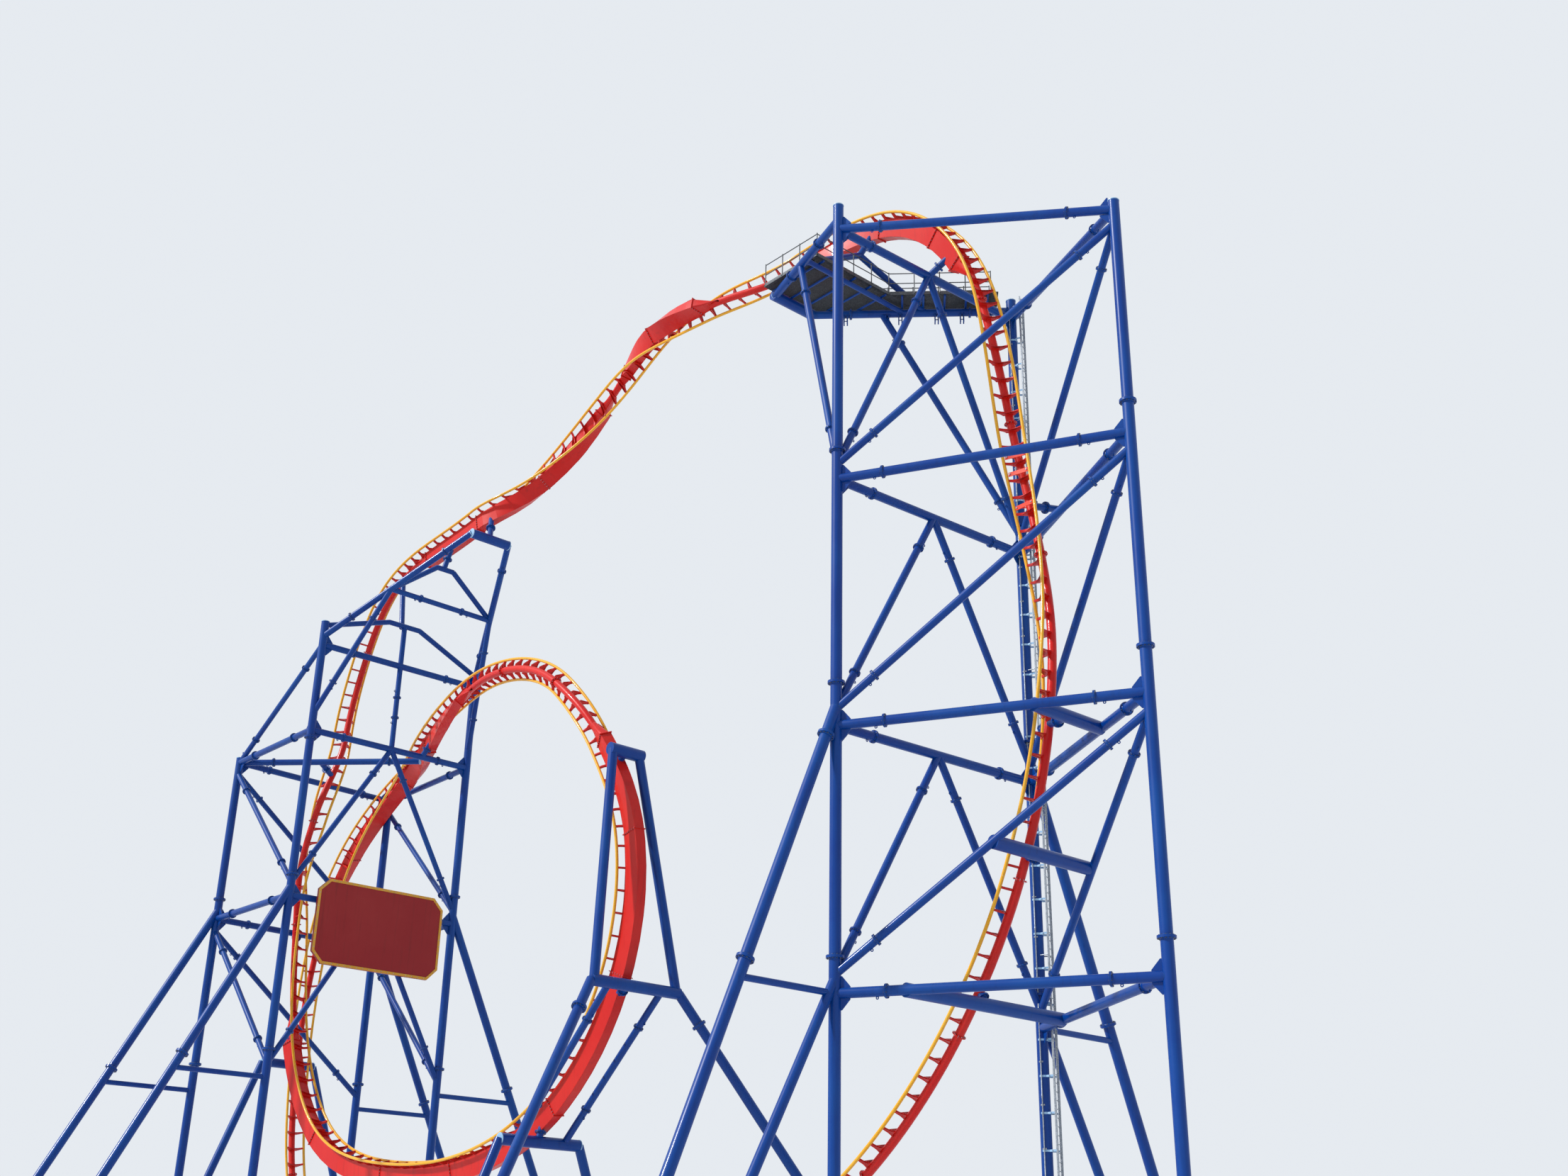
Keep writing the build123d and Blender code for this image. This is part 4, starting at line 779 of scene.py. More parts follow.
# %% One tie's outline and its web
# All of a tie's sizes are in millimetres, from the middle of the rail plane.
RAIL_AT, RAIL_HUG, TIP_AT, TIP_RISE, TOP_DIP, TOP_CURVE = 50.0, 6.6, 42.5, 4.5, 12.5, 2.2
SPINE_DROP, SPINE_HUG = 37.5, 16.6
WEB_THICK, STRIP_WIDE, STRIP_THICK, WEB_UNDER = 4.6, 8.8, 1.5, 0.8
ROUND_SPINE_TIE = 16 * MM  # a tie whose half height is over this one stands on the round spine


def arc(across, up, radius, degrees):
    return [(across + radius * math.cos(math.radians(t)), up + radius * math.sin(math.radians(t)))
            for t in degrees]


def tie_half(form):
    """The right half of the web: its curved top edge, then the rail's seat and the way down to the spine."""
    top = [(a, -TOP_DIP + (TOP_DIP + TIP_RISE) * (a / TIP_AT) ** TOP_CURVE)
           for a in (0, 8, 16, 24, 31, 37, TIP_AT)]
    hug = arc(RAIL_AT, 0.0, RAIL_HUG, (145, 165, 185, 205, 225, 245))
    if form == "box":
        return top, hug + [(40, -11.0), (33.5, -15.0), (28, -18.0), (23.5, -20.9)]
    seat = arc(0.0, -SPINE_DROP, SPINE_HUG, (8, 27, 48, 69, 90))
    return top, hug + [(41, -11.5), (34.5, -16.5), (29.5, -22), (26, -28), (23.4, -35)] + seat


def mirrored(half):
    return half + [(-a, b) for a, b in half[::-1] if a > 0.01]


def tie_parts(form):
    """Points and faces of a web and its top strip, standing at the middle of the rail plane."""
    top, rest = tie_half(form)
    web = [(a, b - WEB_UNDER) for a, b in top[:-1]] + [top[-1]] + rest
    strip = top + [(a, b - STRIP_THICK) for a, b in top[::-1]]
    mesh = bmesh.new()
    for half, thick in ((web, WEB_THICK), (strip, STRIP_WIDE)):
        plate(mesh, Matrix.Identity(4), in_mm(mirrored(half)), thick * MM)
    mesh.verts.index_update()
    points = [v.co.copy() for v in mesh.verts]
    faces = [[v.index for v in f.verts] for f in mesh.faces]
    mesh.free()
    return points, faces


tie_shapes = {form: tie_parts(form) for form in ("round", "box")}
print("faces in a tie", {form: len(shape[1]) for form, shape in tie_shapes.items()})

# %% Every tie in its place
TIP_SHARE = 0.93  # points further out than this share of a tie's half width belong to its tips


def tie_place(middle, ways, halves, own):
    """The middle of the rail plane, with X across the track and Y away from the spine."""
    across, up = ways[0], ways[1]
    offset = [Vector(p) - middle for p in own]
    tips = [o.dot(up) for o in offset if abs(o.dot(across)) > TIP_SHARE * halves[0]]
    if sum(tips) < 0:
        up = -up
    origin = middle + up * (halves[1] - TIP_RISE * MM)
    return frame_matrix(origin, across.cross(up), across)


tie_places = []
for name in sorted(n for n in nodes if n.endswith("_ties")):
    ties = bmesh.new()
    for middle, ways, halves, own in parts_of[name]:
        form = "round" if halves[1] > ROUND_SPINE_TIE else "box"
        points, faces = tie_shapes[form]
        place = tie_place(middle, ways, halves, own)
        made = [ties.verts.new(place @ p) for p in points]
        for face in faces:
            ties.faces.new([made[k] for k in face])
        tie_places.append((form, place))
    piece = add_piece(name[:-1] + "_plates", ties, red_paint, "track_paint", smooth=30)
    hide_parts(name)
print("ties", len(tie_places))

# %% [markdown]
# ## Welds along the box spine
# The box spine is four plates welded along their edges. From the ground each weld is a fine line. A shader
# can't know where a curved girder's corners are, but the mesh can: an edge is a corner where its two faces
# meet squarely, and a thin six-sided bead along each such edge makes the line.

# %% Weld beads on the spine's corners
WELD_RADIUS, WELD_SHORTEST, PLATE_LEAST = 0.85 * MM, 24 * MM, 8 * MM
CORNER = math.radians(60)
spines = sorted(n for n in nodes if n.endswith("_spine"))
welds, runs = bmesh.new(), 0
for name in spines:
    shell = bmesh.new()
    shell.from_mesh(nodes[name].data)
    bmesh.ops.remove_doubles(shell, verts=shell.verts, dist=0.02 * MM)
    for edge in shell.edges:
        length = edge.calc_length()
        if len(edge.link_faces) != 2 or length < WELD_SHORTEST or edge.calc_face_angle() < CORNER:
            continue
        if min(f.calc_area() for f in edge.link_faces) < length * PLATE_LEAST:
            continue
        a, b = edge.verts[0].co.copy(), edge.verts[1].co.copy()
        turned(welds, frame_matrix(a, b - a), [(WELD_RADIUS, 0.0), (WELD_RADIUS, length)], 6)
        runs += 1
    shell.free()
add_piece("spine_welds", welds, red_paint, "track_paint", smooth=50)
print("weld runs", runs)

# %% [markdown]
# ## Bolts in the spine's joints
# Track comes in lengths as well. The spine ends in a plate, and two plates are bolted face to face: in a
# circle on the round spine, and along the sides of the box.

# %% Bolts on the spine's joint plates
JOINT_THICK = 2 * MM  # half a joint plate's thickness, at most
ROUND_SPREAD = 1 * MM  # the two half widths of a round one differ by less than this
ROUND_BOLT, ROUND_BOLTS, ROUND_BOLT_IN = (4.0 * MM, 2.2 * MM), 10, 4.4 * MM
BOX_BOLT, BOX_BOLT_IN = (3.6 * MM, 2.2 * MM), 2.6 * MM
BOX_BOLT_ROWS = (-0.8, -0.48, -0.16, 0.16, 0.48, 0.8)
spine_bolts, box_joints, round_joints = bmesh.new(), [], 0
for name in nodes:
    if not name.endswith("_spine"):
        continue
    for middle, ways, halves, own in parts_of[name]:
        if halves[2] > JOINT_THICK:
            continue
        long, wide, way = ways
        if halves[0] - halves[1] < ROUND_SPREAD:
            at = halves[0] - ROUND_BOLT_IN
            bolt_circle(spine_bolts, middle, way, at, ROUND_BOLTS, ROUND_BOLT, halves[2])
            round_joints += 1
            continue
        box_joints.append((name, middle, ways, halves))
        for side in (-1, 1):
            face = way * (side * halves[2])
            for u in BOX_BOLT_ROWS:
                for v in (-1, 1):
                    at = middle + long * (halves[0] * u) + wide * (v * (halves[1] - BOX_BOLT_IN))
                    hex_head(spine_bolts, frame_matrix(at + face, way * side), *BOX_BOLT)
add_piece("spine_bolts", spine_bolts, zinc_steel, "galvanised_steel")
print("spine joints bolted", round_joints, "round,", len(box_joints), "box")

# %% [markdown]
# ## The ladder
# A ladder climbs the rear column to the platform. The packed model has its two side rails and its stays.
# Rungs a foot apart and a flat strip on each rail make the pale lattice that shows from far off, and a
# notched rail up the middle is where a safety harness runs.

# %% Rungs, rail strips and harness rail
RUNG_PITCH, RUNG_RADIUS, FIRST_RUNG = 30 * MM, 1.5 * MM, 15 * MM
STRIP, HARNESS_RAIL, NOTCH = (2.4 * MM, 8.6 * MM), (5.0 * MM, 1.8 * MM), (2.2 * MM, 2.4 * MM)
stringers = [t for t in tubes if t[0] == "column_ladder" and (t[2] - t[1]).length > 1.0]
(foot_a, head_a), (foot_b, head_b) = [low_first(t[1], t[2]) for t in sorted(stringers, key=lambda t: t[1].x)]
rungs, strips, rung_count = bmesh.new(), bmesh.new(), 0
column_radius, column_axis = column_at((foot_a + foot_b) / 2)
across = (foot_b - foot_a).normalized()
outward = ((foot_a + foot_b) / 2 - column_axis).normalized()
z = foot_a.z + FIRST_RUNG
while z < head_a.z - 5 * MM:
    rod(rungs, Vector((foot_a.x, foot_a.y, z)), Vector((foot_b.x, foot_b.y, z)), RUNG_RADIUS, 6)
    rung_count += 1
    z += RUNG_PITCH
for low_end, high_end in ((foot_a, head_a), (foot_b, head_b)):
    flat_bar(strips, low_end, high_end, *STRIP, outward)
middle_low, middle_high = [(a + b) / 2 + outward * (3 * MM) for a, b in ((foot_a, foot_b), (head_a, head_b))]
flat_bar(strips, middle_low, middle_high, *HARNESS_RAIL, outward)
z = middle_low.z + RUNG_PITCH / 4
while z < middle_high.z - 4 * MM:
    notch = Vector((middle_low.x, middle_low.y, z)) + outward * HARNESS_RAIL[1]
    flat_bar(strips, notch - across * NOTCH[1], notch + across * NOTCH[1], *NOTCH, outward)
    z += RUNG_PITCH / 2
add_piece("ladder_rungs", rungs, zinc_steel, "galvanised_steel", smooth=40)
add_piece("ladder_strips", strips, zinc_steel, "galvanised_steel")
print("rungs", rung_count)

# %% [markdown]
# ## The crest platform's grating
# The deck is open steel grating: thin bearing bars on edge, cross rods pressed into them and a flat band
# round the rim. A texture could paint it, but it is seen from below against the light, where only real
# gaps show. The bars are cut where they meet the outline, which the packed deck gives.

# %% The deck's outline, seen from above


def outline_of(points):
    """The convex outline of a flat solid, seen from above, as a list of corners."""
    flat = sorted({(round(float(p[0]), 5), round(float(p[1]), 5)) for p in points})

    def half_hull(run):
        hull = []
        for p in run:
            while len(hull) > 1 and ((hull[-1][0] - hull[-2][0]) * (p[1] - hull[-2][1])
                                     - (hull[-1][1] - hull[-2][1]) * (p[0] - hull[-2][0])) <= 1e-8:
                hull.pop()
            hull.append(p)
        return hull[:-1]

    return [Vector(p) for p in half_hull(flat) + half_hull(flat[::-1])]


deck_corners = [len(outline_of(part[3])) for part in parts_of["platform_deck"]]
print("corners of each deck panel", deck_corners)

# %% Bars clipped to the outline
BAR_PITCH, BAR_DEEP, BAR_WIDE = 4.6 * MM, 5.2 * MM, 0.9 * MM
ROD_PITCH, ROD_WIDE, ROD_DEEP, ROD_SUNK = 19 * MM, 1.2 * MM, 1.6 * MM, 1.2 * MM
SHORTEST_BAR = 2 * MM
FIRST_BAR, LAST_BAR = 0.6, 0.3  # how far inside the outline they start and stop, in pitches


def runs_inside(corners, holes, base, way):
    """The stretches of a line that lie inside the outline and outside round holes."""
    low, high = -math.inf, math.inf
    for p, q in zip(corners, corners[1:] + corners[:1]):
        edge = q - p
        inward = Vector((-edge.y, edge.x)).normalized()
        rate, gap = way.dot(inward), (base - p).dot(inward)
        if abs(rate) < 1e-9:
            if gap < 0:
                return []
            continue
        cut = -gap / rate
        low, high = (max(low, cut), high) if rate > 0 else (low, min(high, cut))
    runs = [(low, high)] if high - low > SHORTEST_BAR else []
    for centre, radius in holes:
        along = (centre - base).dot(way)
        off = (centre - base - way * along).length
        if off >= radius:
            continue
        reach = math.sqrt(radius ** 2 - off ** 2)
        runs = [part for a, b in runs for part in ((a, min(b, along - reach)), (max(a, along + reach), b))
                if part[1] - part[0] > SHORTEST_BAR]
    return runs


def lay_bars(mesh, corners, holes, way, pitch, make):
    """Parallel bars this far apart, right across the outline."""
    side = Vector((-way.y, way.x))
    reach = [c.dot(side) for c in corners]
    at = min(reach) + pitch * FIRST_BAR
    count = 0
    while at < max(reach) - pitch * LAST_BAR:
        for a, b in runs_inside(corners, holes, side * at, way):
            make(mesh, side * at + way * a, side * at + way * b)
            count += 1
        at += pitch
    return count


print("grating pitch", BAR_PITCH)

# %% The grating itself
LEG_RADIUS, LEG_ROOM, BAND_WIDE = 0.0145, 4 * MM, 1.4 * MM
grating, bar_count = bmesh.new(), 0
leg_tubes = [t for t in tubes if t[0] == "platform_frame" and abs(t[3] - LEG_RADIUS) < 0.4 * MM]


def holes_at(level):
    """A round hole, as its centre and radius, for each leg that passes through this level."""
    found = []
    for _, start, end, radius in leg_tubes:
        low_end, high_end = low_first(start, end)
        if low_end.z < level < high_end.z:
            spot = low_end.lerp(high_end, (level - low_end.z) / (high_end.z - low_end.z))
            found.append((spot.xy, radius + LEG_ROOM))
    return found


for middle, ways, halves, own in parts_of["platform_deck"]:
    corners = outline_of(own)
    top, bottom = own[:, 2].max(), own[:, 2].min()
    level = (top + bottom) / 2
    holes = holes_at(level)
    sides = [q - p for p, q in zip(corners, corners[1:] + corners[:1])]
    way = max(sides, key=lambda side: side.length).normalized()
    cross = Vector((-way.y, way.x))

    def edge_bar(mesh, a, b, wide=BAR_WIDE, deep=BAR_DEEP):
        flat_bar(mesh, Vector((*a, level)), Vector((*b, level)), wide, deep, UP)

    def cross_rod(mesh, a, b):
        rod_level = top - ROD_SUNK
        flat_bar(mesh, Vector((*a, rod_level)), Vector((*b, rod_level)), ROD_WIDE, ROD_DEEP, UP)

    bar_count += lay_bars(grating, corners, holes, way, BAR_PITCH, edge_bar)
    bar_count += lay_bars(grating, corners, holes, cross, ROD_PITCH, cross_rod)
    for p, q in zip(corners, corners[1:] + corners[:1]):
        inward = Vector((p.y - q.y, q.x - p.x)).normalized() * (BAND_WIDE / 2)
        edge_bar(grating, p + inward, q + inward, BAND_WIDE, top - bottom)
    for centre, radius in holes:
        inner, outer = radius - 0.2 * MM, radius + 1 * MM
        collar = [(inner, 0), (outer, 0), (outer, top - bottom), (inner, top - bottom)]
        turned(grating, Matrix.Translation((*centre, bottom)), collar, 20, closed=True)
# The grating's zinc is darkened as painted shade for the platform seen from below.
grating_piece = add_piece("platform_grating", grating, painted_shade_zinc, "galvanised_steel")
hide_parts("platform_deck")
print("bars", bar_count)

# %% [markdown]
# ## Handrail fittings
# The packed handrail has its posts and rails. On a real one each post stands on a small bolted flange and
# ends in a ball cap, and a toe board runs along the deck so that a dropped tool can't roll off.

# %% Post feet, caps and toe boards
POST_FLANGE, FLANGE_TOP = 6.2 * MM, 1.1 * MM
POST_BOLT, POST_BOLT_AT = (1.7 * MM, 1.0 * MM), 4.8 * MM
BALL_SHARE, BALL_TURN = 1.25, (40, 65, 90, 115, 140, 165)
TOE_BOARD, TOE_LIFT = (1.0 * MM, 11 * MM), 6 * MM
UPRIGHT, LEVEL = 0.95, 0.3  # how steep a post is at least, and a rail at most, where 1 is plumb
fittings, toe_boards = bmesh.new(), bmesh.new()
rail_tubes = [fit_tube(own, middle, ways[0]) for middle, ways, _, own in parts_of["platform_handrail"]]
steepness = [(tube, abs((tube[1] - tube[0]).normalized().z)) for tube in rail_tubes if tube]
posts = [tube for tube, steep in steepness if steep > UPRIGHT]
rails = [tube for tube, steep in steepness if steep < LEVEL]
deck_top = min(min(t[0].z, t[1].z) for t in posts)
rail_low = min(t[0].z for t in rails)
for start, end, radius in posts:
    low_end, high_end = low_first(start, end)
    foot_place = Matrix.Translation(low_end)
    turned(fittings, foot_place, [(radius * 0.9, 0.0), (POST_FLANGE, 0.0), (POST_FLANGE, FLANGE_TOP),
                                  (radius + 1.0 * MM, 1.6 * MM), (radius + 0.2 * MM, 3.4 * MM),
                                  (radius * 0.9, 3.4 * MM)], 16, closed=True)
    for k in range(4):
        turn = Matrix.Rotation(math.radians(90 * k + 45), 4, "Z")
        hex_head(fittings, foot_place @ turn @ Matrix.Translation((POST_BOLT_AT, 0, FLANGE_TOP)), *POST_BOLT)
    round_end = radius * BALL_SHARE
    ball = [(round_end * math.sin(math.radians(t)), -round_end * math.cos(math.radians(t)))
            for t in BALL_TURN]
    turned(fittings, Matrix.Translation(high_end + UP * (0.6 * MM)), ball, 12)
for start, end, radius in rails:
    if start.z > rail_low + 10 * MM:
        continue
    lift = UP * (deck_top + TOE_LIFT - start.z)
    flat_bar(toe_boards, start + lift, end + lift, *TOE_BOARD, UP)
# The fittings and toe boards take the zinc darkened as painted shade.
add_piece("handrail_fittings", fittings, painted_shade_zinc, "galvanised_steel", smooth=40)
add_piece("toe_boards", toe_boards, painted_shade_zinc, "galvanised_steel")
print("posts", len(posts), "rails", len(rails))

# %% [markdown]
# ## Hangers under the platform
# Channel hangers clamp the walkway's tube from below and stick out under it as small forked tabs. Each is
# two plates with clipped corners on either side of a spacer, drawn once and set along the tube.

# %% Forked hangers along the rear tube
HANGER = ((-16, -6), (16, -6), (18, 6), (11, 14), (15, 34), (8, 38), (0, 25), (-8, 38), (-15, 34), (-11, 14),
          (-18, 6))
HANGER_THICK, HANGER_GAP, SPACER_OUT, SPACER_DROP = 5.0 * MM, 7 * MM, 9 * MM, 17 * MM
HANGERS_X = (1.459, 1.589, 1.630, 1.743, 1.822, 1.907)  # spaced as unevenly as the real ones are
WALK_RADIUS = 0.0175
hangers = bmesh.new()
walk_tube = max((t for t in tubes if t[0] == "platform_frame" and abs(t[3] - WALK_RADIUS) < 0.5 * MM),
                key=lambda t: (t[2] - t[1]).length)
walk_start, walk_end = sorted(walk_tube[1:3], key=lambda p: p.x)
walk_way = (walk_end - walk_start).normalized()
for x in HANGERS_X:
    at = walk_start.lerp(walk_end, (x - walk_start.x) / (walk_end.x - walk_start.x))
    for side in (-1, 1):
        spot = at + walk_way * (side * HANGER_GAP) - UP * (walk_tube[3] - 2 * MM)
        place = frame_matrix(spot, walk_way, UP.cross(walk_way))
        turn = Matrix.Rotation(math.pi, 4, "Z") if place.col[1].z > 0 else Matrix.Identity(4)
        plate(hangers, place @ turn, in_mm(HANGER), HANGER_THICK)
    below = at - UP * (walk_tube[3] + SPACER_DROP)
    rod(hangers, below - walk_way * SPACER_OUT, below + walk_way * SPACER_OUT, 2.0 * MM)
add_piece("platform_hangers", hangers, blue_paint, "support_paint", bevel=0.3 * MM)
print("hangers", len(HANGERS_X))

# %% [markdown]
# ## Clamps between ladder and column
# Pale bent straps hold the ladder's rails off the column, a little over four rungs apart. Each is a ring,
# open at the back, that hugs the tube, with two arms to the rails and a bolt on each side.

# %% Straps up the ladder
STRAP_PITCH, FIRST_STRAP = 4 * RUNG_PITCH + 8 * MM, 90 * MM
STRAP_WIDE, STRAP_THICK, ARM_THICK, STRAP_BOLT = 7 * MM, 2.2 * MM, 2.0 * MM, (3.6 * MM, 2.2 * MM)
ARM_ROOT, ELBOW_SHARE = 0.75, 0.45  # where an arm leaves the tube, in radii, and where it bends
straps, strap_bolts, strap_count = bmesh.new(), bmesh.new(), 0
side_way = UP.cross(outward)
z = foot_a.z + FIRST_STRAP
while z < head_a.z - 20 * MM:
    radius, axis = column_at(Vector((foot_a.x, foot_a.y, z)))
    ring = [math.radians(t) for t in range(-110, 111, 20)]
    hug = radius + 1.2 * MM
    spots = [axis + outward * (hug * math.cos(a)) + side_way * (hug * math.sin(a)) for a in ring]
    for p, q in zip(spots, spots[1:]):
        flat_bar(straps, p, q, STRAP_WIDE, STRAP_THICK, UP.cross(q - p))
    for rail in (foot_a, foot_b):
        rail_spot = Vector((rail.x, rail.y, z))
        hand = 1 if (rail_spot - axis).dot(side_way) > 0 else -1
        root = axis + outward * (radius * ARM_ROOT) + side_way * (hand * radius * ARM_ROOT)
        elbow = root.lerp(rail_spot, ELBOW_SHARE) + side_way * (hand * 4 * MM)
        for p, q in ((root, elbow), (elbow, rail_spot)):
            flat_bar(straps, p, q, STRAP_WIDE, ARM_THICK, UP.cross(q - p))
        bolt_foot = elbow + side_way * (hand * 1.0 * MM)
        hex_head(strap_bolts, frame_matrix(bolt_foot, side_way * hand), *STRAP_BOLT)
    strap_count += 1
    z += STRAP_PITCH
add_piece("ladder_clamps", straps, pale_paint, "support_paint")
add_piece("ladder_clamp_bolts", strap_bolts, zinc_steel, "galvanised_steel")
print("straps", strap_count)

# %% [markdown]
# ## The conduit
# A galvanised conduit brings power and signals up the rear column to the platform, beside the ladder. It
# is rigid pipe, so it is turned, not hung: straight lengths with couplings, saddles, and a junction box
# with a lid at the bottom, within reach of the ladder.

# %% Pipe, couplings and saddles
PIPE_RADIUS, PIPE_OFF, PIPE_LENGTH, SADDLE_PITCH = 2.3 * MM, 4.2 * MM, 300 * MM, 150 * MM
COUPLING = ((2.3, -7), (3.1, -6), (3.1, 6), (2.3, 7))
SADDLE_RADIUS, SADDLE_WIDE, TAB_THICK = 3.0 * MM, 5 * MM, 1.4 * MM
conduit, saddles = bmesh.new(), bmesh.new()
pipe_at = column_axis - side_way * (column_radius + PIPE_OFF)
pipe_low, pipe_high = foot_a.z + 60 * MM, head_a.z - 70 * MM
profile, z = [(PIPE_RADIUS, 0.0)], 0.0
while z + PIPE_LENGTH < pipe_high - pipe_low:
    z += PIPE_LENGTH
    profile += [(out * MM, z + along * MM) for out, along in COUPLING]
profile.append((PIPE_RADIUS, pipe_high - pipe_low))
turned(conduit, Matrix.Translation((pipe_at.x, pipe_at.y, pipe_low)), profile, 12)
z = pipe_low + 120 * MM
while z < pipe_high - 20 * MM:
    spot = Vector((pipe_at.x, pipe_at.y, z))
    inward = (Vector((column_axis.x, column_axis.y, z)) - spot).normalized()
    bend = [spot - inward * (SADDLE_RADIUS * math.cos(math.radians(t)))
            + outward * (SADDLE_RADIUS * math.sin(math.radians(t))) for t in range(-90, 91, 30)]
    for p, q in zip(bend, bend[1:]):
        flat_bar(saddles, p, q, SADDLE_WIDE, 1.0 * MM, UP.cross(q - p))
    for hand in (-1, 1):
        tab, reach = spot + inward * (3.4 * MM) + outward * (hand * SADDLE_WIDE), UP * (SADDLE_WIDE / 2)
        flat_bar(saddles, tab - reach, tab + reach, SADDLE_WIDE, TAB_THICK, inward)
    z += SADDLE_PITCH
print("conduit length", pipe_high - pipe_low)

# %% The junction box and its lid
BOX_DEEP, LID_THICK, LID_SCREW = 11 * MM, 1.4 * MM, (2.4 * MM, 1.4 * MM)


def clipped(half_wide, half_high):
    """A rectangle, in millimetres, with its four corners clipped by 2."""
    w, h = half_wide, half_high
    return in_mm(((-w, 2 - h), (2 - w, -h), (w - 2, -h), (w, 2 - h),
                  (w, h - 2), (w - 2, h), (2 - w, h), (-w, h - 2)))


box_place = frame_matrix(Vector((pipe_at.x, pipe_at.y, pipe_low - 14 * MM)), side_way, UP)
plate(conduit, box_place, clipped(16, 11), BOX_DEEP)
plate(saddles, box_place @ Matrix.Translation((0, 0, -6.1 * MM)), clipped(17, 12), LID_THICK)
for a in (-13, 13):
    for b in (-8, 8):
        lid = box_place @ Matrix.Translation((a * MM, b * MM, -6.8 * MM)) @ Matrix.Rotation(math.pi, 4, "X")
        hex_head(saddles, lid, *LID_SCREW)
add_piece("column_conduit", conduit, zinc_steel, "galvanised_steel", smooth=40)
add_piece("conduit_saddles", saddles, zinc_steel, "galvanised_steel")

# %% [markdown]
# ## The board's rim, rivets and ribs
# The board on the left tower is left plain. A real one is a sheet on a frame: a raised rim of angle bar
# follows its outline, a row of rivets holds it, and ribs stiffen the back. The rim takes its outline from
# the packed board, moved in by its own width, so that it always fits.

# %% The rim
RIM_WIDE, RIM_HIGH, RIM_SUNK = 13 * MM, 3.2 * MM, 0.5 * MM
rim = bmesh.new()
board_points = max(parts_of["sign_board"], key=lambda part: part[2][0] * part[2][1])[3]
board_low, board_high = board_points.min(0), board_points.max(0)
face_x, back_x = float(board_high[0]), float(board_low[0])
board_outline = outline_of([(p[1], p[2]) for p in board_points])
board_middle = Vector(((board_low[1] + board_high[1]) / 2, (board_low[2] + board_high[2]) / 2))


def on_board(spot, x):
    return Vector((x, spot.x, spot.y))


def inset(corners, amount):
    """The outline with every side moved in by the same amount."""
    lines = []
    for p, q in zip(corners, corners[1:] + corners[:1]):
        way = (q - p).normalized()
        lines.append((p + Vector((-way.y, way.x)) * amount, way))
    moved = []
    for (p, u), (q, v) in zip(lines[-1:] + lines[:-1], lines):
        det = u.x * v.y - u.y * v.x
        moved.append(p + u * (((q - p).x * v.y - (q - p).y * v.x) / det))
    return moved


sunk, shoulder, crown = face_x - RIM_SUNK, face_x + RIM_HIGH * 0.7, face_x + RIM_HIGH
rim_profile = ((0.6 * MM, sunk), (0.6 * MM, shoulder), (1.6 * MM, crown), (RIM_WIDE - 1 * MM, crown),
               (RIM_WIDE, shoulder), (RIM_WIDE, sunk))
rings = [[rim.verts.new(on_board(corner, x)) for corner in inset(board_outline, amount)]
         for amount, x in rim_profile]
for low_ring, high_ring in zip(rings, rings[1:] + rings[:1]):
    bridge(rim, low_ring, high_ring)
add_piece("board_rim", rim, trim_paint, "support_paint", bevel=0.3 * MM)

# %% Rivets and back ribs
RIVET_PITCH, RIVET_RADIUS, RIVET_HIGH, RIVET_TURN = 34 * MM, 2.2 * MM, 1.5 * MM, (0, 30, 60, 85)
RIB_LEVELS, RIB_SHORT = (-0.33, 0.0, 0.33), 30 * MM
RIB_SHAPE = ((0.0, 9 * MM, 2.2 * MM), (7 * MM, 2.2 * MM, 12 * MM))  # drop, depth and width of its two flats
BOARD_OUT = Vector((1, 0, 0))
rivets, ribs = bmesh.new(), bmesh.new()
rivet = [(RIVET_RADIUS, -0.3 * MM)] + [
    (RIVET_RADIUS * math.cos(math.radians(t)), RIVET_HIGH * math.sin(math.radians(t))) for t in RIVET_TURN]
rivet_line, rivet_count = inset(board_outline, RIM_WIDE / 2), 0
for p, q in zip(rivet_line, rivet_line[1:] + rivet_line[:1]):
    steps = max(1, round((q - p).length / RIVET_PITCH))
    for k in range(steps):
        spot = on_board(p.lerp(q, (k + 0.5) / steps), crown)
        turned(rivets, frame_matrix(spot, BOARD_OUT), rivet, 10)
        rivet_count += 1
rib_reach = board_high[1] - board_middle.x - RIB_SHORT
for share in RIB_LEVELS:
    level = board_middle.y + share * (board_high[2] - board_low[2])
    for drop, deep, wide in RIB_SHAPE:
        x = back_x - deep / 2 + 0.4 * MM
        start, end = [Vector((x, board_middle.x + side * rib_reach, level - drop)) for side in (-1, 1)]
        flat_bar(ribs, start, end, wide, deep, BOARD_OUT)
add_piece("board_rivets", rivets, zinc_steel, "galvanised_steel", smooth=40)
add_piece("board_ribs", ribs, blue_paint, "support_paint")
print("rivets", rivet_count)

# %% [markdown]
# ## Bright bars on the climb
# A third of the way down the climb three flat bars cross the track between the rails, each propped from
# the spine by a V of thin struts. They carry position sensors, are brighter than the ties and sit square
# to the rails, so each one borrows the place of a tie that the script has already read.

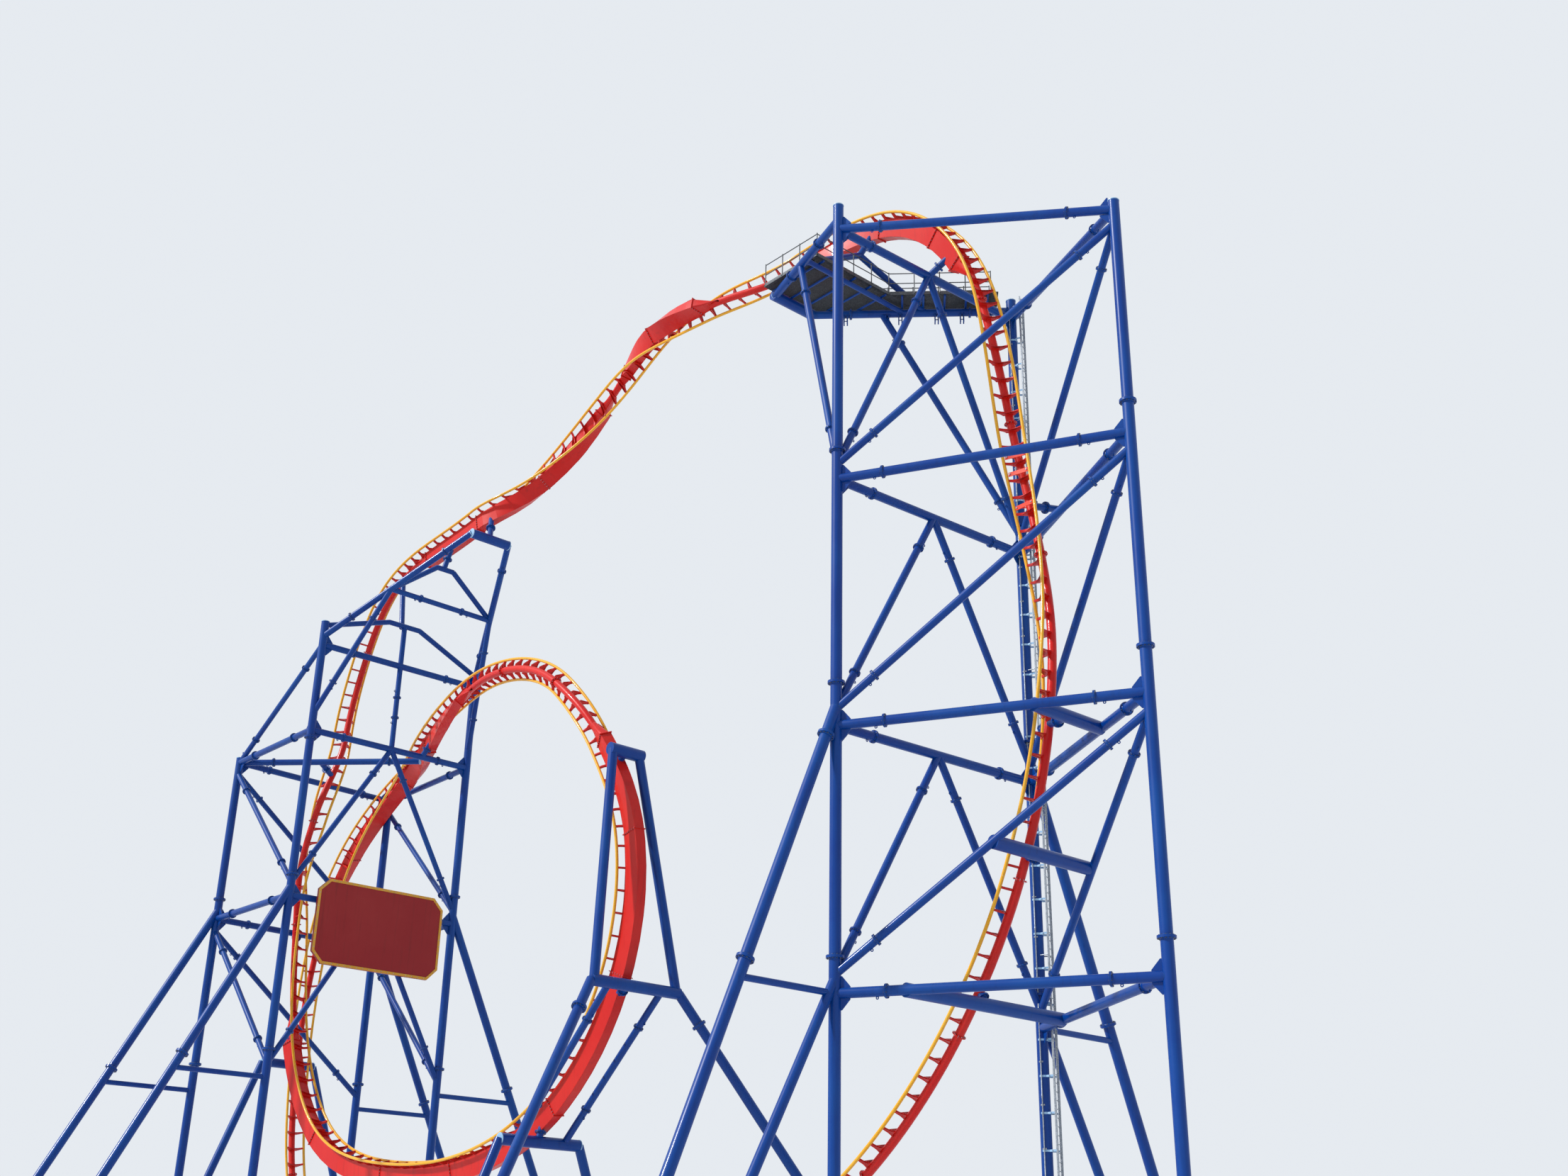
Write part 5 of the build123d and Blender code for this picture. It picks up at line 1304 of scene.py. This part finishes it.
# %% Three sensor bars with their struts
BAR_LEVELS, BAR_BACK = (3.17, 3.095, 3.02), 24 * MM  # heights, and how far past its tie each bar sits
BAR_HALF, BAR_RISE, BAR_SIZE = 43 * MM, 4 * MM, (17 * MM, 3.0 * MM)
STRUT_TOE, STRUT_HEEL, STRUT_SIZE = (30 * MM, 2.5 * MM), (7 * MM, -24 * MM), (5 * MM, 2.4 * MM)
STUD_AT, STUD = (36 * MM, 5.5 * MM), ((3.2, 0), (3.2, 2.6), (2.4, 3.4), (1.0, 3.6))
CLIMB_LEAST_X, CLIMB_LOW, CLIMB_HIGH, CLIMB_SIDE = 1.9, 2.9, 3.6, 0.15
bars, studs = bmesh.new(), bmesh.new()
climb = [place for _, place in tie_places
         if place.translation.x > CLIMB_LEAST_X and CLIMB_LOW < place.translation.z < CLIMB_HIGH
         and abs(place.translation.y) < CLIMB_SIDE]
climb.sort(key=lambda place: place.translation.z)
for level in BAR_LEVELS:
    place = min(climb, key=lambda tie: abs(tie.translation.z - level))
    along = place @ Matrix.Translation((0, 0, BAR_BACK))
    left, right = [along @ Vector((side * BAR_HALF, BAR_RISE, 0)) for side in (-1, 1)]
    out = (along.to_3x3() @ Vector((0, 1, 0))).normalized()
    flat_bar(bars, left, right, *BAR_SIZE, out)
    for side in (-1, 1):
        toe, heel, stud = [along @ Vector((side * x, y, 0)) for x, y in (STRUT_TOE, STRUT_HEEL, STUD_AT)]
        flat_bar(bars, toe, heel, *STRUT_SIZE, along.to_3x3() @ Vector((1, 0, 0)))
        turned(studs, frame_matrix(stud, out), in_mm(STUD), 12)
add_piece("sensor_bars", bars, signal_paint, "track_paint", bevel=0.3 * MM)
add_piece("sensor_bar_studs", studs, zinc_steel, "galvanised_steel", smooth=40)
print("sensor bars", len(BAR_LEVELS), "from", len(climb), "ties")

# %% [markdown]
# ## Tapers between round and box spine
# Where the round spine grows into the deep box, the real one has a tapered length made of bent plates. The
# packed model stops the box square. A loft fills the step: its first ring is the box's outline at the joint
# plate, its last is a circle round the spine at the second tie, and a ring half way follows the curve.

# %% One ring of a taper
BOX_TOP, TAPER_RADIUS, PLATE_LIP = 21.0 * MM, 17.0 * MM, 5.0 * MM
RING_STEPS = 32


def taper_ring(mesh, station, tall, broad, share):
    """Points round the spine: the box's outline where share is 0, and a circle where it is 1."""
    origin, x_way, y_way = station
    ring = []
    for k in range(RING_STEPS):
        c, s = math.cos(2 * math.pi * k / RING_STEPS), math.sin(2 * math.pi * k / RING_STEPS)
        scale = min(broad / max(abs(c), 1e-6), tall / max(abs(s), 1e-6))
        square = Vector((c * scale, s * scale - tall - BOX_TOP))
        circle = Vector((c * TAPER_RADIUS, s * TAPER_RADIUS - SPINE_DROP * MM))
        spot = square.lerp(circle, share)
        ring.append(mesh.verts.new(origin + x_way * spot.x + y_way * spot.y))
    return ring


print("points in a taper's ring", RING_STEPS)

# %% Lofts from the joint plate to the second tie
NEAREST_TIES, TIE_CLEAR = 8, 4 * MM
tapers, taper_count = bmesh.new(), 0
for _, middle, (long, wide, way), halves in sorted(box_joints, key=lambda joint: joint[0]):
    on_spine = Vector((0, -SPINE_DROP * MM, 0))
    near = sorted(tie_places, key=lambda tie: (tie[1] @ on_spine - middle).length)[:NEAREST_TIES]
    for side in (-1, 1):
        ahead = [tie for tie in near if (tie[1].translation - middle).dot(way) * side > TIE_CLEAR][:2]
        if [form for form, _ in ahead] != ["round", "round"]:
            continue
        stations = [(place.translation, place.col[0].xyz, place.col[1].xyz) for _, place in ahead]
        _, across, up = stations[0]
        box_up = long * (1 if long.dot(up) > 0 else -1)
        box_across = wide * (1 if wide.dot(across) > 0 else -1)
        tall, broad = halves[0] - PLATE_LIP, halves[1] - PLATE_LIP
        box_top = middle + way * (side * halves[2]) + box_up * (tall + BOX_TOP)
        stations.insert(0, (box_top, box_across, box_up))
        first, second = [(b[0] - a[0]).length for a, b in zip(stations, stations[1:])]
        rings = [taper_ring(tapers, station, tall, broad, share)
                 for station, share in zip(stations, (0.0, first / (first + second), 1.0))]
        for low_ring, high_ring in zip(rings, rings[1:]):
            bridge(tapers, low_ring, high_ring)
        tapers.faces.new(rings[0][::-1])
        tapers.faces.new(rings[-1])
        taper_count += 1
add_piece("spine_tapers", tapers, red_paint, "track_paint", smooth=30)
print("tapers", taper_count)

# %% [markdown]
# ## The studio
# The photo is taken from the ground in front of the ride, looking up at the towers with the sun on the
# left. A sun lamp from the left draws the same white line down each tube. The floor and the world look
# pale to the camera and in reflections, through Light Path, and light the model at a plain level.

# %% Floor and world
FLOOR_HALF, FLOOR_COLOUR, FLOOR_ROUGHNESS = 60.0, (0.78, 0.79, 0.80, 1), 0.8
LIGHT_COLOUR, LIGHT_LEVEL = (0.80, 0.87, 1.0, 1), 0.55
SHOWN_COLOUR, SHOWN_LEVEL = (0.86, 0.90, 0.95, 1), 0.92
floor_mesh = bmesh.new()
bmesh.ops.create_grid(floor_mesh, x_segments=1, y_segments=1, size=FLOOR_HALF)
floor_data = bpy.data.meshes.new("floor")
floor_mesh.to_mesh(floor_data)
floor_mesh.free()
floor = bpy.data.objects.new("floor", floor_data)
bpy.context.scene.collection.objects.link(floor)
floor_paint, _, floor_surface = new_material("pale_floor")
floor_surface.inputs["Base Color"].default_value = FLOOR_COLOUR
floor_surface.inputs["Roughness"].default_value = FLOOR_ROUGHNESS
floor_data.materials.append(floor_paint)

world = bpy.data.worlds.new("studio")
bpy.context.scene.world = world
world.use_nodes = True
tree = world.node_tree
plain = tree.nodes["Background"]
shown = node(tree, "ShaderNodeBackground", (0, -200))
for background, colour, level in ((plain, LIGHT_COLOUR, LIGHT_LEVEL), (shown, SHOWN_COLOUR, SHOWN_LEVEL)):
    background.inputs[0].default_value = colour
    background.inputs[1].default_value = level
path = node(tree, "ShaderNodeLightPath", (-600, 300))
either = node(tree, "ShaderNodeMath", (-300, 300), operation="MAXIMUM")
mix = node(tree, "ShaderNodeMixShader", (250, 0))
wire(tree, (path, "Is Camera Ray", either, 0), (path, "Is Glossy Ray", either, 1), (either, 0, mix, 0),
     (plain, 0, mix, 1), (shown, 0, mix, 2), (mix, 0, tree.nodes["World Output"], "Surface"))
print("studio", world.name)

# %% Lamp and camera
LAMP_POWER, LAMP_WIDTH, LAMP_TURN = 3.2, 4, (52, 0, -28)
CAMERA_AT, CAMERA_TURN = (6.026, -4.444, 0.16), (113.275, -0.934, 47.598)
CAMERA_LENS, SENSOR_WIDTH, CLIP_END = 39.06, 36.0, 200.0
sun_data = bpy.data.lights.new("key", "SUN")
sun_data.energy = LAMP_POWER
sun_data.angle = math.radians(LAMP_WIDTH)
sun = bpy.data.objects.new("key", sun_data)
sun.rotation_euler = [math.radians(a) for a in LAMP_TURN]
bpy.context.scene.collection.objects.link(sun)

camera_data = bpy.data.cameras.new("camera")
camera_data.lens, camera_data.sensor_width, camera_data.clip_end = CAMERA_LENS, SENSOR_WIDTH, CLIP_END
camera = bpy.data.objects.new("camera", camera_data)
camera.location = CAMERA_AT
camera.rotation_euler = [math.radians(a) for a in CAMERA_TURN]
bpy.context.scene.collection.objects.link(camera)
bpy.context.scene.camera = camera
bpy.context.scene.view_settings.view_transform = "Standard"
print("camera lens", camera_data.lens)
